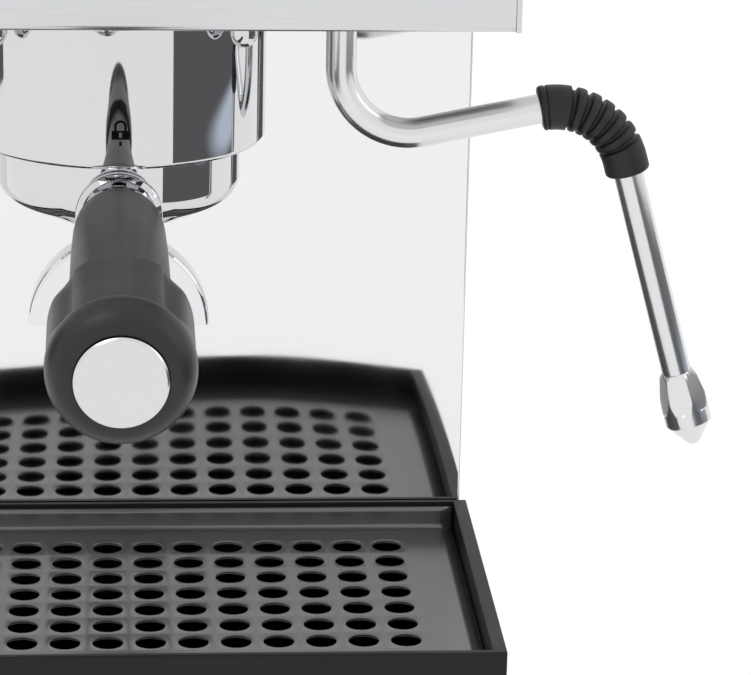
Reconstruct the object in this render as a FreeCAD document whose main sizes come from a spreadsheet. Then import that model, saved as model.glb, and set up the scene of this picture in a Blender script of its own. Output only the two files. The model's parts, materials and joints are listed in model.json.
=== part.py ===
import FreeCAD, Part
import math
import os
import re
import Sketcher
from FreeCAD import Placement, Rotation, Vector

# Compact home espresso machine with a single group, a removable rear water tank and a swivelling steam wand.
# Millimetres, +Z up, origin on the table under the middle of the casing. The front of the casing faces -Y.

DIMENSIONS = [
    ("body_width", 226, "casing width over the side panels"),
    ("body_depth", 300, "casing depth, front panel to back panel"),
    ("body_height", 340, "casing height above the table"),
    ("side_gauge", 1.5, "side panel thickness"),
    ("panel_gauge", 1.2, "front, back, column and underside sheet thickness"),
    ("fit_gap", 0.1, "assembly gap beside a panel"),
    ("foot_height", 14, "rubber foot height"),
    ("foot_radius", 15, "rubber foot radius"),
    ("foot_x", 88, "foot distance from the middle, sideways"),
    ("foot_y", 122, "foot distance from the middle, front to back"),
    ("screw_radius", 1.9, "panel screw shank radius"),
    ("screw_hole", 2, "radius of the holes for panel screws and group studs"),
    ("lip_screw_y", -140.5, "Y of the screw under the lip"),
    ("back_screw_x", 104, "distance of the back panel's screws from the middle"),
    ("pan_gauge", 2, "base pan thickness"),
    ("pan_flange", 12, "height of the base pan's upturned flanges"),
    ("column_face", -28, "Y of the polished column front"),
    ("head_floor", 244.6, "Z of the front panel's lower lip"),
    ("lip_depth", 11, "depth of the lip folded under the front panel"),
    ("bend_radius", 1.7, "outside radius of the lip's bend"),
    ("group_x", 3.5, "group axis X"),
    ("group_y", -92, "group axis Y"),
    ("cover_radius", 42.5, "chrome group cover outer radius"),
    ("cover_floor", 201.5, "Z of the group cover's lower edge"),
    ("cover_gauge", 1.2, "group cover thickness"),
    ("lug_ring_floor", 203, "Z of the lug ring's underside"),
    ("lug_ring_inner", 35.7, "lug ring bore radius"),
    ("lug_reach", 39, "radius over the portafilter lugs"),
    ("lug_floor", 215, "Z of the lugs' underside"),
    ("lug_height", 6, "lug height"),
    ("rim_top", 228.7, "Z of the portafilter rim when locked"),
    ("holder_radius", 35.1, "portafilter ring outer radius"),
    ("holder_wall", 4, "portafilter ring wall"),
    ("holder_base", 189.5, "Z where the portafilter ring's wall ends"),
    ("holder_round", 7, "radius between ring wall and cone"),
    ("boss_radius", 12, "radius of the spout boss"),
    ("boss_top", 173, "Z where the cone meets the boss"),
    ("boss_floor", 169, "Z of the boss's lower face"),
    ("stud_circle", 49, "radius of the group stud circle"),
    ("flange_radius", 54, "group flange radius"),
    ("nut_radius", 4.6, "cap nut radius over its corners"),
    ("dome_radius", 3.9, "cap nut dome radius"),
    ("boiler_radius", 37, "boiler outer radius"),
    ("boiler_wall", 3, "boiler wall"),
    ("boiler_split", 285, "Z of the joint between the boiler halves"),
    ("boiler_top", 320, "Z of the boiler's top"),
    ("bolt_circle", 41.6, "radius of the boiler's bolt circle"),
    ("element_half", 15, "distance of the element's ends from the boiler axis"),
    ("steam_level", 306, "Z of the steam pipe over the wand"),
    ("water_level", 311, "Z of the pressure pipe where it enters the boiler"),
    ("solenoid_x", -62, "X of the solenoid valve"),
    ("solenoid_y", -60, "Y of the solenoid valve"),
    ("drain_floor", 226, "Z of the drain pipe's open end"),
    ("handle_y", -127, "Y where the handle axis meets the ring"),
    ("handle_z", 187, "Z of the handle axis at the ring"),
    ("handle_tilt", 2, "droop of the handle axis in degrees"),
    ("ferrule_radius", 11, "radius of the ferrule's barrel"),
    ("ferrule_length", 13, "distance along the handle where the ferrule ends"),
    ("neck_start", 12.3, "handle neck radius at the ferrule"),
    ("neck_end", 13.6, "handle neck radius at the grip"),
    ("grip_start", 84, "distance along the handle where the grip begins"),
    ("grip_radius", 16.2, "grip radius where it begins"),
    ("grip_length", 49, "grip length"),
    ("bulb_radius", 19.2, "largest grip radius"),
    ("disc_radius", 12, "end disc radius"),
    ("spout_z", 144, "Z of the two spout mouths"),
    ("spout_outer", 26.5, "outer radius of the spout arch"),
    ("spout_inner", 14.5, "inner radius of the spout arch"),
    ("spout_width", 10.5, "front to back width of the spout arch"),
    ("wand_x", 67.5, "X of the wand's swivel axis"),
    ("wand_y", -96, "Y of the wand's swivel axis"),
    ("wand_top", 261, "Z of the wand tube's upper end"),
    ("wand_radius", 4.4, "wand tube radius"),
    ("wand_bore", 3, "wand tube bore radius"),
    ("wand_low", 197.7, "Z where the upper run's line meets the middle run's"),
    ("wand_out", 79.9, "distance between the corners of the wand's two bends"),
    ("wand_down", 97, "distance from the second corner to the end of the tip's socket"),
    ("first_bend", 20, "centreline radius of the upper bend"),
    ("second_bend", 21.8, "centreline radius of the bend in the sleeve"),
    ("wand_rise", 11.5, "rise of the middle run in degrees"),
    ("wand_lean", 15.7, "lean of the lower run from upright in degrees"),
    ("sleeve_radius", 6.6, "rubber sleeve radius"),
    ("groove_depth", 1.2, "depth of the grooves between the sleeve's ribs"),
    ("groove_share", 0.45, "share of a pitch of the ribs that is groove"),
    ("sleeve_above", 20.6, "length of the sleeve before the second corner"),
    ("sleeve_below", 24, "length of the sleeve after the second corner"),
    ("first_cuff", 0.24, "share of the bend that the first cuff covers"),
    ("last_cuff", 0.85, "share of the bend where the last cuff begins"),
    ("sleeve_ribs", 5, "ribs between the cuffs"),
    ("tip_radius", 7, "steam tip largest radius"),
    ("tip_length", 23.4, "steam tip length"),
    ("tip_socket", 9, "depth of the steam tip's socket"),
    ("knob_x", 70, "X of the steam knob's axis"),
    ("knob_z", 275, "Z of the steam knob's axis"),
    ("knob_radius", 16, "steam knob radius"),
    ("knob_depth", 22, "steam knob depth"),
    ("tray_half", 115, "half the drip tray's width"),
    ("tray_front", -152.5, "Y of the drip tray's front face"),
    ("tray_back", -28.6, "Y of the drip tray's rear face"),
    ("tray_rim", 62.4, "Z of the drip tray's rim"),
    ("tray_side", 4.2, "drip tray side wall"),
    ("tray_wall", 2.5, "drip tray front wall and floor"),
    ("tray_thin", 1.7, "drip tray rear wall"),
    ("ledge_depth", 16.2, "depth of the ledge behind the tray's front wall"),
    ("grid_top", 54, "Z of the cup grid's surface"),
    ("grid_gauge", 1, "cup grid thickness"),
    ("grid_half", 110.2, "half the cup grid's width"),
    ("grid_back", -30.5, "Y of the cup grid's rear face"),
    ("upstand_top", 61, "Z of the cup grid's rear upstand"),
    ("hole_radius", 4.5, "grid hole radius"),
    ("hole_pitch", 12.6, "grid hole pitch"),
    ("hole_columns", 15, "holes in one row of the grid"),
    ("hole_rows", 7, "rows of holes in the grid"),
    ("last_row", -47, "Y of the rearmost row of holes"),
    ("gauge_x", -70, "X of the pressure gauge"),
    ("gauge_z", 290, "Z of the pressure gauge"),
    ("gauge_radius", 27, "gauge bezel radius"),
    ("rocker_z", 297, "Z of the rocker switches"),
    ("rocker_first", -18, "X of the first rocker switch"),
    ("rocker_pitch", 26, "distance between rocker switches"),
    ("rocker_tilt", 7, "tilt of a rocker either way in degrees"),
    ("rocker_pin", 1.5, "radius of the pins that a rocker tilts on"),
    ("switch_wide", 9.4, "half the width of a switch case"),
    ("switch_tall", 13.4, "half the height of a switch case"),
    ("switch_wall", 1.6, "side wall of a switch case and overhang of its bezel"),
    ("lamp_z", 268, "Z of the indicator lamps"),
    ("lamp_radius", 4, "indicator lamp radius"),
    ("tank_half", 92, "half the water tank's width"),
    ("tank_front", 78, "Y of the water tank's front wall"),
    ("tank_back", 144, "Y of the water tank's rear wall"),
    ("tank_floor", 88, "Z of the water tank's underside"),
    ("tank_top", 336.7, "Z of the water tank's rim"),
    ("tank_wall", 2.5, "water tank wall"),
    ("lid_gauge", 3, "tank lid thickness"),
    ("pump_x", -60, "X of the pump axis"),
    ("pump_y", 30, "Y of the pump axis"),
    ("pump_radius", 9, "pump tube radius"),
    ("pump_inlet", 38, "Z of the pump's inlet, where the hose ends"),
    ("pump_outlet", 160, "Z of the pump's outlet, where the pressure pipe starts"),
    ("pump_floor", 44, "Z of the pump tube's lower end"),
    ("pump_top", 136, "Z of the pump tube's upper end"),
    ("bore_floor", 60, "Z where the plunger's bore begins"),
    ("bore_top", 130, "Z where the plunger's bore ends"),
    ("plunger_floor", 68, "Z of the plunger's lower end"),
    ("plunger_top", 100, "Z of the plunger's upper end"),
    ("coil_floor", 62, "Z of the pump coil's underside"),
    ("coil_top", 118, "Z of the pump coil's top"),
    ("hose_level", 25, "Z of the suction hose along the base"),
    ("plunger_radius", 5, "pump plunger radius"),
    ("gland_x", -80, "X of the cable gland"),
    ("gland_z", 45, "Z of the cable gland"),
    ("gland_bore", 3.6, "cable gland bore radius"),
]

doc = FreeCAD.newDocument("espresso_machine")
sheet = doc.addObject("Spreadsheet::Sheet", "dims")
for row, (alias, number, meaning) in enumerate(DIMENSIONS, start=1):
    sheet.set(f"A{row}", meaning)
    sheet.set(f"B{row}", str(number))
    sheet.setAlias(f"B{row}", alias)
doc.recompute()

nodes = []                       # the finished sub-parts, in the order they are made
NEAR = 1e-4                      # two positions closer than this are the same
DIAGONAL = "cos(45 deg)"         # studs stand on the diagonals of the group
SCREW_LEVELS = (30, 180, 325)    # Z of the back panel's screws on each side
GROUP = ("group_x", "group_y")   # the group axis in plan
QUARTERS = [(side, end) for side in (-1, 1) for end in (-1, 1)]
TURN = {"X": Rotation(Vector(0, 1, 0), 90), "Y": Rotation(Vector(1, 0, 0), -90), "Z": Rotation()}
SIDES = {"X": "yz", "Y": "xz", "Z": "xy"}


def mm(alias):
    """The number in the sheet's cell of that alias."""
    return float(sheet.get(alias))


def formula(text):
    """Point every alias in a formula at its cell of the sheet."""
    return re.sub(r"[a-z]+_[a-z_]+", lambda word: "dims." + word.group(0), str(text))


def bind(obj, prop, text):
    obj.setExpression(prop, formula(text))


def keep(obj):
    """Mark an object as a finished sub-part; its label names its file."""
    obj.Label = obj.Name
    nodes.append(obj)
    return obj


# ---------------------------------------------------------------- primitives and booleans

def box(name, x, y, z):
    """A box between pairs of formulas."""
    obj = doc.addObject("Part::Box", name)
    for prop, side, (low, high) in zip(("Length", "Width", "Height"), "xyz", (x, y, z)):
        bind(obj, prop, f"({high}) - ({low})")
        bind(obj, f"Placement.Base.{side}", low)
    return obj


def place_on_axis(obj, along, at, axis):
    """Stand an upright primitive on an axis that passes through the point at."""
    obj.Placement = Placement(Vector(), TURN[axis])
    bind(obj, "Height", f"({along[1]}) - ({along[0]})")
    bind(obj, f"Placement.Base.{axis.lower()}", along[0])
    for side, text in zip(SIDES[axis], at):
        bind(obj, f"Placement.Base.{side}", text)


def rod(name, radius, along, at=GROUP, axis="Z"):
    """A cylinder between the two formulas in along."""
    obj = doc.addObject("Part::Cylinder", name)
    bind(obj, "Radius", radius)
    place_on_axis(obj, along, at, axis)
    return obj


def taper(name, radii, along, at=GROUP, axis="Z"):
    """A cone frustum whose first radius is at the start of along."""
    obj = doc.addObject("Part::Cone", name)
    bind(obj, "Radius1", radii[0])
    bind(obj, "Radius2", radii[1])
    place_on_axis(obj, along, at, axis)
    return obj


def join(name, *parts):
    obj = doc.addObject("Part::MultiFuse", name)
    obj.Shapes = list(parts)
    obj.Refine = True
    return obj


def cut(name, base, *tools):
    tool = tools[0] if len(tools) == 1 else join(name + "_tools", *tools)
    obj = doc.addObject("Part::Cut", name)
    obj.Base = base
    obj.Tool = tool
    obj.Refine = True
    return obj


def together(name, parts):
    """Separate solids that share one node."""
    obj = doc.addObject("Part::Compound", name)
    obj.Links = list(parts)
    return obj


def ring(name, outer, inner, along, at=GROUP, axis="Z"):
    blank = rod(name + "_outer", outer, along, at, axis)
    return cut(name, blank, rod(name + "_bore", inner, along, at, axis))


# ---------------------------------------------------------------- sketched bodies

def new_body(name):
    return doc.addObject("PartDesign::Body", name)


def origin_feature(body, role):
    return next(item for item in body.Origin.OriginFeatures if item.Role == role)


def sketch_on(body, name, role, offset="0"):
    """A sketch parallel to one of the body's origin planes, moved along that plane's normal."""
    sketch = body.newObject("Sketcher::SketchObject", name)
    sketch.AttachmentSupport = [(origin_feature(body, role), "")]
    sketch.MapMode = "FlatFace"
    bind(sketch, "AttachmentOffset.Base.z", offset)
    return sketch


def hold(sketch, kind, *where, size):
    """Add a driving constraint whose size is a formula."""
    index = sketch.addConstraint(Sketcher.Constraint(kind, *where, 1.0))
    bind(sketch, f"Constraints[{index}]", size)


def draw_rectangle(sketch, x, y):
    corners = [Vector(0, 0, 0), Vector(9, 0, 0), Vector(9, 9, 0), Vector(0, 9, 0)]
    lines = [sketch.addGeometry(Part.LineSegment(corners[k], corners[(k + 1) % 4])) for k in range(4)]
    for k, line in enumerate(lines):
        sketch.addConstraint(Sketcher.Constraint("Coincident", line, 2, lines[(k + 1) % 4], 1))
        sketch.addConstraint(Sketcher.Constraint("Horizontal" if k % 2 == 0 else "Vertical", line))
    hold(sketch, "DistanceX", -1, 1, lines[0], 1, size=x[0])
    hold(sketch, "DistanceY", -1, 1, lines[0], 1, size=y[0])
    hold(sketch, "DistanceX", lines[0], 1, lines[0], 2, size=f"({x[1]}) - ({x[0]})")
    hold(sketch, "DistanceY", lines[1], 1, lines[1], 2, size=f"({y[1]}) - ({y[0]})")


def draw_circle(sketch, x, y, radius):
    circle = sketch.addGeometry(Part.Circle(Vector(1, 1, 0), Vector(0, 0, 1), 3))
    hold(sketch, "DistanceX", -1, 1, circle, 3, size=x)
    hold(sketch, "DistanceY", -1, 1, circle, 3, size=y)
    hold(sketch, "Radius", circle, size=radius)


def grow(body, sketch, length, backwards=False):
    pad = body.newObject("PartDesign::Pad", sketch.Name + "_pad")
    pad.Profile = sketch
    bind(pad, "Length", length)
    pad.Reversed = backwards
    return pad


def sink(body, sketch, depth, backwards=False):
    """Cut against the sketch's normal, or along it when backwards."""
    pocket = body.newObject("PartDesign::Pocket", sketch.Name + "_pocket")
    pocket.Profile = sketch
    bind(pocket, "Length", depth)
    pocket.Reversed = backwards
    return pocket


def repeat(body, feature, role, count, length):
    pattern = body.newObject("PartDesign::LinearPattern", feature.Name + "_row")
    pattern.Originals = [feature]
    pattern.Direction = (origin_feature(body, role), [""])
    bind(pattern, "Length", length)
    bind(pattern, "Occurrences", count)
    body.Tip = pattern
    return pattern


def round_edges(body, feature, radius, wanted):
    """Fillet the edges of a feature that the test wanted accepts."""
    doc.recompute()
    names = [f"Edge{k}" for k, edge in enumerate(feature.Shape.Edges, start=1) if wanted(edge)]
    fillet = body.newObject("PartDesign::Fillet", feature.Name + "_round")
    fillet.Base = (feature, names)
    bind(fillet, "Radius", radius)
    body.Tip = fillet
    return fillet


def runs_along(edge, side):
    """Whether a straight edge is parallel to the axis x, y or z."""
    if edge.Curve.TypeId != "Part::GeomLine":
        return False
    direction = edge.tangentAt(edge.FirstParameter)
    return abs(abs(getattr(direction, side)) - 1) < 1e-6


# ---------------------------------------------------------------- turned and bent solids

def outline(points):
    """A closed face in XZ. A point is (r, z), or ((r, z), (r, z)) for an arc by way of the first point."""
    last = Vector(points[0][0], 0, points[0][1])
    first = last
    edges = []
    for point in list(points[1:]) + [points[0]]:
        if isinstance(point[0], tuple):
            middle, end = (Vector(p[0], 0, p[1]) for p in point)
            edges.append(Part.Arc(last, middle, end).toShape())
        else:
            end = Vector(point[0], 0, point[1])
            if end.distanceToPoint(last) > 1e-7:
                edges.append(Part.LineSegment(last, end).toShape())
        last = end
    assert last.distanceToPoint(first) < 1e-6
    return Part.Face(Part.Wire(edges))


def turned(points):
    """A solid of revolution about Z."""
    return outline(points).revolve(Vector(), Vector(0, 0, 1), 360)


def hexagon(radius, level):
    """A flat hexagon about Z, radius over its corners."""
    corners = [Vector(radius * math.cos(a), radius * math.sin(a), level)
               for a in (math.radians(60 * k) for k in range(7))]
    return Part.Face(Part.makePolygon(corners))


def cap(radius, low, high):
    """The two points of an arc that closes a turned solid with part of a sphere, the second on the axis."""
    rise = high - low
    sphere = (radius ** 2 + rise ** 2) / (2 * rise)
    middle = (math.atan2(low - high + sphere, radius) + math.copysign(math.pi / 2, rise)) / 2
    return (abs(sphere) * math.cos(middle), high - sphere + abs(sphere) * math.sin(middle)), (0, high)


def feature(name, shape, placement=None):
    """A sub-part that only a computed shape can describe."""
    obj = doc.addObject("Part::Feature", name)
    obj.Shape = shape
    if placement is not None:
        obj.Placement = placement
    return keep(obj)


def corner(points, k, radius):
    """The start, middle and end of the arc that rounds point k of a route."""
    before = (points[k - 1] - points[k]).normalize()
    after = (points[k + 1] - points[k]).normalize()
    half = before.getAngle(after) / 2
    inward = (before + after).normalize()
    centre = points[k] + inward * (radius / math.sin(half))
    reach = radius / math.tan(half)
    return points[k] + before * reach, centre - inward * radius, points[k] + after * reach


def route(points, radii):
    """A wire of straight runs joined by tangent arcs."""
    edges = []
    last = points[0]
    for k, radius in enumerate(radii, start=1):
        start, middle, end = corner(points, k, radius)
        if start.distanceToPoint(last) > 1e-6:
            edges.append(Part.LineSegment(last, start).toShape())
        edges.append(Part.Arc(start, middle, end).toShape())
        last = end
    if points[-1].distanceToPoint(last) > 1e-6:
        edges.append(Part.LineSegment(last, points[-1]).toShape())
    return Part.Wire(edges)


def pipe(path, radius):
    """A round bar along a wire."""
    edge = path.Edges[0]
    start = edge.valueAt(edge.FirstParameter)
    heading = edge.tangentAt(edge.FirstParameter)
    circle = Part.Wire([Part.makeCircle(radius, start, heading)])
    return path.makePipeShell([circle], True, True)


def stretch(arc, start, end, before=(), after=()):
    """A wire along part of an arc, with straight edges before and after it."""
    first, last = arc.FirstParameter, arc.LastParameter
    piece = arc.Curve.toShape(first + (last - first) * start, first + (last - first) * end)
    return Part.Wire([*before, piece, *after])


# ---------------------------------------------------------------- casing

def make_base():
    """Folded base pan under the column and the tray, on four rubber feet and a plain pad in the middle."""
    inner = "body_width / 2 - side_gauge - fit_gap"
    back = "body_depth / 2 - panel_gauge - fit_gap"
    top = "foot_height + pan_gauge"
    front = "column_face + panel_gauge + fit_gap"
    floor = box("pan_floor", (f"-({inner})", inner), ("-body_depth / 2 + 4", back), ("foot_height", top))
    rise = (top, "foot_height + pan_flange")
    walls = [
        box("pan_left", (f"-({inner})", f"-({inner}) + pan_gauge"), (front, back), rise),
        box("pan_right", (f"{inner} - pan_gauge", inner), (front, back), rise),
        box("pan_rear", (f"-({inner})", inner), (f"{back} - pan_gauge", back), rise),
        box("pan_front", (f"-({inner})", inner), (front, f"{front} + pan_gauge"), rise),
    ]
    keep(join("base_pan", floor, *walls))
    feet = []
    for side, end in QUARTERS:
        at = (f"{side} * foot_x", f"{end} * foot_y")
        name = f"foot_{len(feet)}"
        skirt = taper(name + "_skirt", ("foot_radius - 2", "foot_radius"), ("0", "foot_height"), at)
        hollow = rod(name + "_hollow", "foot_radius / 3", ("-1", "foot_height / 4"), at)
        feet.append(cut(name, skirt, hollow))
    feet.append(taper("foot_middle", ("foot_radius - 2", "foot_radius"), ("0", "foot_height"), ("0", "0")))
    keep(together("rubber_feet", feet))


def make_side_panels():
    """Side sheets shaped like an upside-down L: the column and the overhanging head."""
    for name, side in (("side_panel_left", -1), ("side_panel_right", 1)):
        near, far = "body_width / 2 - side_gauge", "body_width / 2"
        x = (near, far) if side > 0 else (f"-{far}", f"side_gauge - {far}")
        back, front = "body_depth / 2", "-body_depth / 2"
        column = box(name + "_column", x, ("column_face + panel_gauge", back), ("foot_height", "body_height"))
        head = box(name + "_head", x, (front, back), ("head_floor", "body_height"))
        keep(join(name, column, head))


def make_column_panel():
    """Polished sheet behind the cups."""
    half = "body_width / 2 - 0.4"
    top = "head_floor + panel_gauge"
    keep(box("column_front_panel", (f"-({half})", half), ("column_face", "column_face + panel_gauge"),
             ("foot_height + pan_gauge", top)))


def make_front_panel():
    """Front sheet with its lower edge folded back under the head, cut for the controls."""
    half = "body_width / 2 - side_gauge - fit_gap"
    front = "body_depth / 2"
    body = new_body("front_panel")
    face = sketch_on(body, "front_face", "XZ_Plane", front)
    draw_rectangle(face, (f"-({half})", half), ("head_floor", "body_height - panel_gauge"))
    grow(body, face, "panel_gauge", backwards=True)
    lip = sketch_on(body, "front_lip", "XY_Plane", "head_floor")
    draw_rectangle(lip, (f"-({half})", half), (f"-{front}", f"lip_depth - {front}"))
    folded = grow(body, lip, "panel_gauge")
    low = mm("head_floor")
    face_y = -mm("body_depth") / 2
    round_edges(body, folded, "bend_radius", lambda edge: runs_along(edge, "x")
                and abs(edge.CenterOfMass.z - low) < NEAR and abs(edge.CenterOfMass.y - face_y) < NEAR)
    holes = sketch_on(body, "front_holes", "XZ_Plane", front)
    draw_circle(holes, "gauge_x", "gauge_z", "gauge_radius - 1.8")
    draw_circle(holes, "knob_x", "knob_z", "knob_radius / 2.5")
    for k in range(3):
        x = f"rocker_first + {k} * rocker_pitch"
        wide, tall = "switch_wide + fit_gap", "switch_tall + fit_gap"
        draw_rectangle(holes, (f"{x} - ({wide})", f"{x} + {wide}"),
                       (f"rocker_z - ({tall})", f"rocker_z + {tall}"))
        draw_circle(holes, x, "lamp_z", "lamp_radius - 0.8")
    sink(body, holes, "panel_gauge * 2")
    screw = sketch_on(body, "lip_hole", "XY_Plane", "head_floor")
    draw_circle(screw, "0", "lip_screw_y", "screw_hole")
    sink(body, screw, "panel_gauge * 2", backwards=True)
    keep(body)


def make_back_panel():
    """Rear sheet with a row of cooling slots and the hole for the mains lead's gland."""
    half = "body_width / 2 - side_gauge - fit_gap"
    inside = "body_depth / 2 - panel_gauge"
    body = new_body("back_panel")
    face = sketch_on(body, "back_face", "XZ_Plane", f"-({inside})")
    draw_rectangle(face, (f"-({half})", half), ("foot_height + pan_gauge", "body_height - panel_gauge"))
    grow(body, face, "panel_gauge", backwards=True)
    hole = sketch_on(body, "gland_hole", "XZ_Plane", f"-({inside})")
    draw_circle(hole, "gland_x", "gland_z", "gland_bore * 2")
    for x in ("-back_screw_x", "back_screw_x"):
        for z in SCREW_LEVELS:
            draw_circle(hole, x, str(z), "screw_hole")
    sink(body, hole, "panel_gauge * 2")
    slot = sketch_on(body, "vent_slot", "XZ_Plane", f"-({inside})")
    draw_rectangle(slot, ("-40", "40"), ("34", "37"))
    vent = sink(body, slot, "panel_gauge * 2")
    repeat(body, vent, "Z_Axis", "6", "40")
    keep(body)


def make_underside_plate():
    """Floor of the head, resting on the front panel's lip, with the group, stud and wand holes."""
    half = "body_width / 2 - side_gauge - fit_gap"
    body = new_body("head_underside_plate")
    plate = sketch_on(body, "plate_outline", "XY_Plane", "head_floor + panel_gauge")
    draw_rectangle(plate, (f"-({half})", half),
                   ("panel_gauge + fit_gap - body_depth / 2", "column_face + panel_gauge + 20"))
    draw_circle(plate, "group_x", "group_y", "cover_radius - cover_gauge")
    draw_circle(plate, "wand_x", "wand_y", "wand_radius + 2")
    draw_circle(plate, "0", "lip_screw_y", "screw_hole")
    draw_circle(plate, "solenoid_x", "solenoid_y", "3.2")
    reach = f"stud_circle * {DIAGONAL}"
    for side, end in QUARTERS:
        draw_circle(plate, f"group_x + {side} * {reach}", f"group_y + {end} * {reach}", "screw_hole + 0.2")
    grow(body, plate, "panel_gauge")
    keep(body)


def make_top_cover():
    """Cup warmer: a shallow recess with warm-air slots in front of the tank opening."""
    half = "body_width / 2 - side_gauge - fit_gap"
    end = "body_depth / 2 - panel_gauge - fit_gap"
    body = new_body("top_cover")
    slab = sketch_on(body, "cover_outline", "XY_Plane", "body_height - lid_gauge")
    draw_rectangle(slab, (f"-({half})", half), (f"-({end})", end))
    draw_rectangle(slab, ("-tank_half - 3.2", "tank_half + 3.2"), ("tank_front - 2", "tank_back + 2"))
    grow(body, slab, "lid_gauge")
    recess = sketch_on(body, "cup_recess", "XY_Plane", "body_height")
    draw_rectangle(recess, (f"6 - ({half})", f"{half} - 6"), (f"6 - ({end})", "tank_front - 10"))
    sink(body, recess, "lid_gauge * 0.6")
    slot = sketch_on(body, "warm_slot", "XY_Plane", "body_height")
    draw_rectangle(slot, ("-60", "60"), ("-60", "-56.5"))
    warm = sink(body, slot, "lid_gauge * 2")
    repeat(body, warm, "Y_Axis", "6", "70")
    keep(body)


# ---------------------------------------------------------------- drip tray and cup grid

def make_drip_tray():
    """Moulded tray that pulls out forwards, with a ledge in front of the grid."""
    inner = "tray_half - tray_side"
    floor = "foot_height + pan_gauge"
    body = new_body("drip_tray")
    block = sketch_on(body, "tray_outline", "XY_Plane", f"{floor} + 0.2")
    draw_rectangle(block, ("-tray_half", "tray_half"), ("tray_front", "tray_back"))
    solid = grow(body, block, f"tray_rim - ({floor}) - 0.2")
    front = mm("tray_front")
    round_edges(body, solid, "1", lambda edge: abs(edge.CenterOfMass.y - front) < NEAR)
    well = sketch_on(body, "tray_well", "XY_Plane", "tray_rim")
    draw_rectangle(well, (f"-({inner})", inner), ("tray_front + tray_wall", "tray_back - tray_thin"))
    sink(body, well, "tray_rim - grid_top + grid_gauge")
    deep = sketch_on(body, "tray_deep", "XY_Plane", "grid_top - grid_gauge")
    draw_rectangle(deep, (f"-({inner}) + 3", f"{inner} - 3"),
                   ("tray_front + tray_wall + ledge_depth", "tray_back - tray_thin - 3"))
    sink(body, deep, f"grid_top - grid_gauge - ({floor}) - 0.2 - tray_wall")
    ledge = sketch_on(body, "tray_ledge", "XY_Plane", "grid_top - grid_gauge")
    draw_rectangle(ledge, (f"-({inner})", inner),
                   ("tray_front + tray_wall", "tray_front + tray_wall + ledge_depth - 0.3"))
    grow(body, ledge, "grid_gauge * 0.7")
    keep(body)


def make_drip_grid():
    """Perforated steel sheet turned up along its rear edge."""
    body = new_body("drip_grid")
    front = "tray_front + tray_wall + ledge_depth + 0.2"
    sheet_outline = sketch_on(body, "grid_outline", "XY_Plane", "grid_top - grid_gauge")
    draw_rectangle(sheet_outline, ("-grid_half", "grid_half"), (front, "grid_back"))
    grow(body, sheet_outline, "grid_gauge")
    upstand = sketch_on(body, "grid_upstand", "XY_Plane", "grid_top")
    draw_rectangle(upstand, ("-grid_half", "grid_half"), ("grid_back - grid_gauge", "grid_back"))
    grow(body, upstand, "upstand_top - grid_top")
    row = sketch_on(body, "hole_row", "XY_Plane", "grid_top")
    middle = (mm("hole_columns") - 1) / 2
    for k in range(int(mm("hole_columns"))):
        x = f"{k - middle} * hole_pitch"
        draw_circle(row, x, "last_row - (hole_rows - 1) * hole_pitch", "hole_radius")
    holes = sink(body, row, "grid_gauge * 2")
    repeat(body, holes, "Y_Axis", "hole_rows", "(hole_rows - 1) * hole_pitch")
    keep(body)


# ---------------------------------------------------------------- group and boiler

def sector(name, radius, along, centre_angle, width):
    """A pie slice about the group axis, width degrees wide."""
    slice_ = rod(name, radius, along)
    slice_.Angle = width
    slice_.Placement = Placement(Vector(), Rotation(Vector(0, 0, 1), centre_angle - width / 2))
    bind(slice_, "Placement.Base.z", along[0])
    bind(slice_, "Placement.Base.x", GROUP[0])
    bind(slice_, "Placement.Base.y", GROUP[1])
    return slice_


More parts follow.
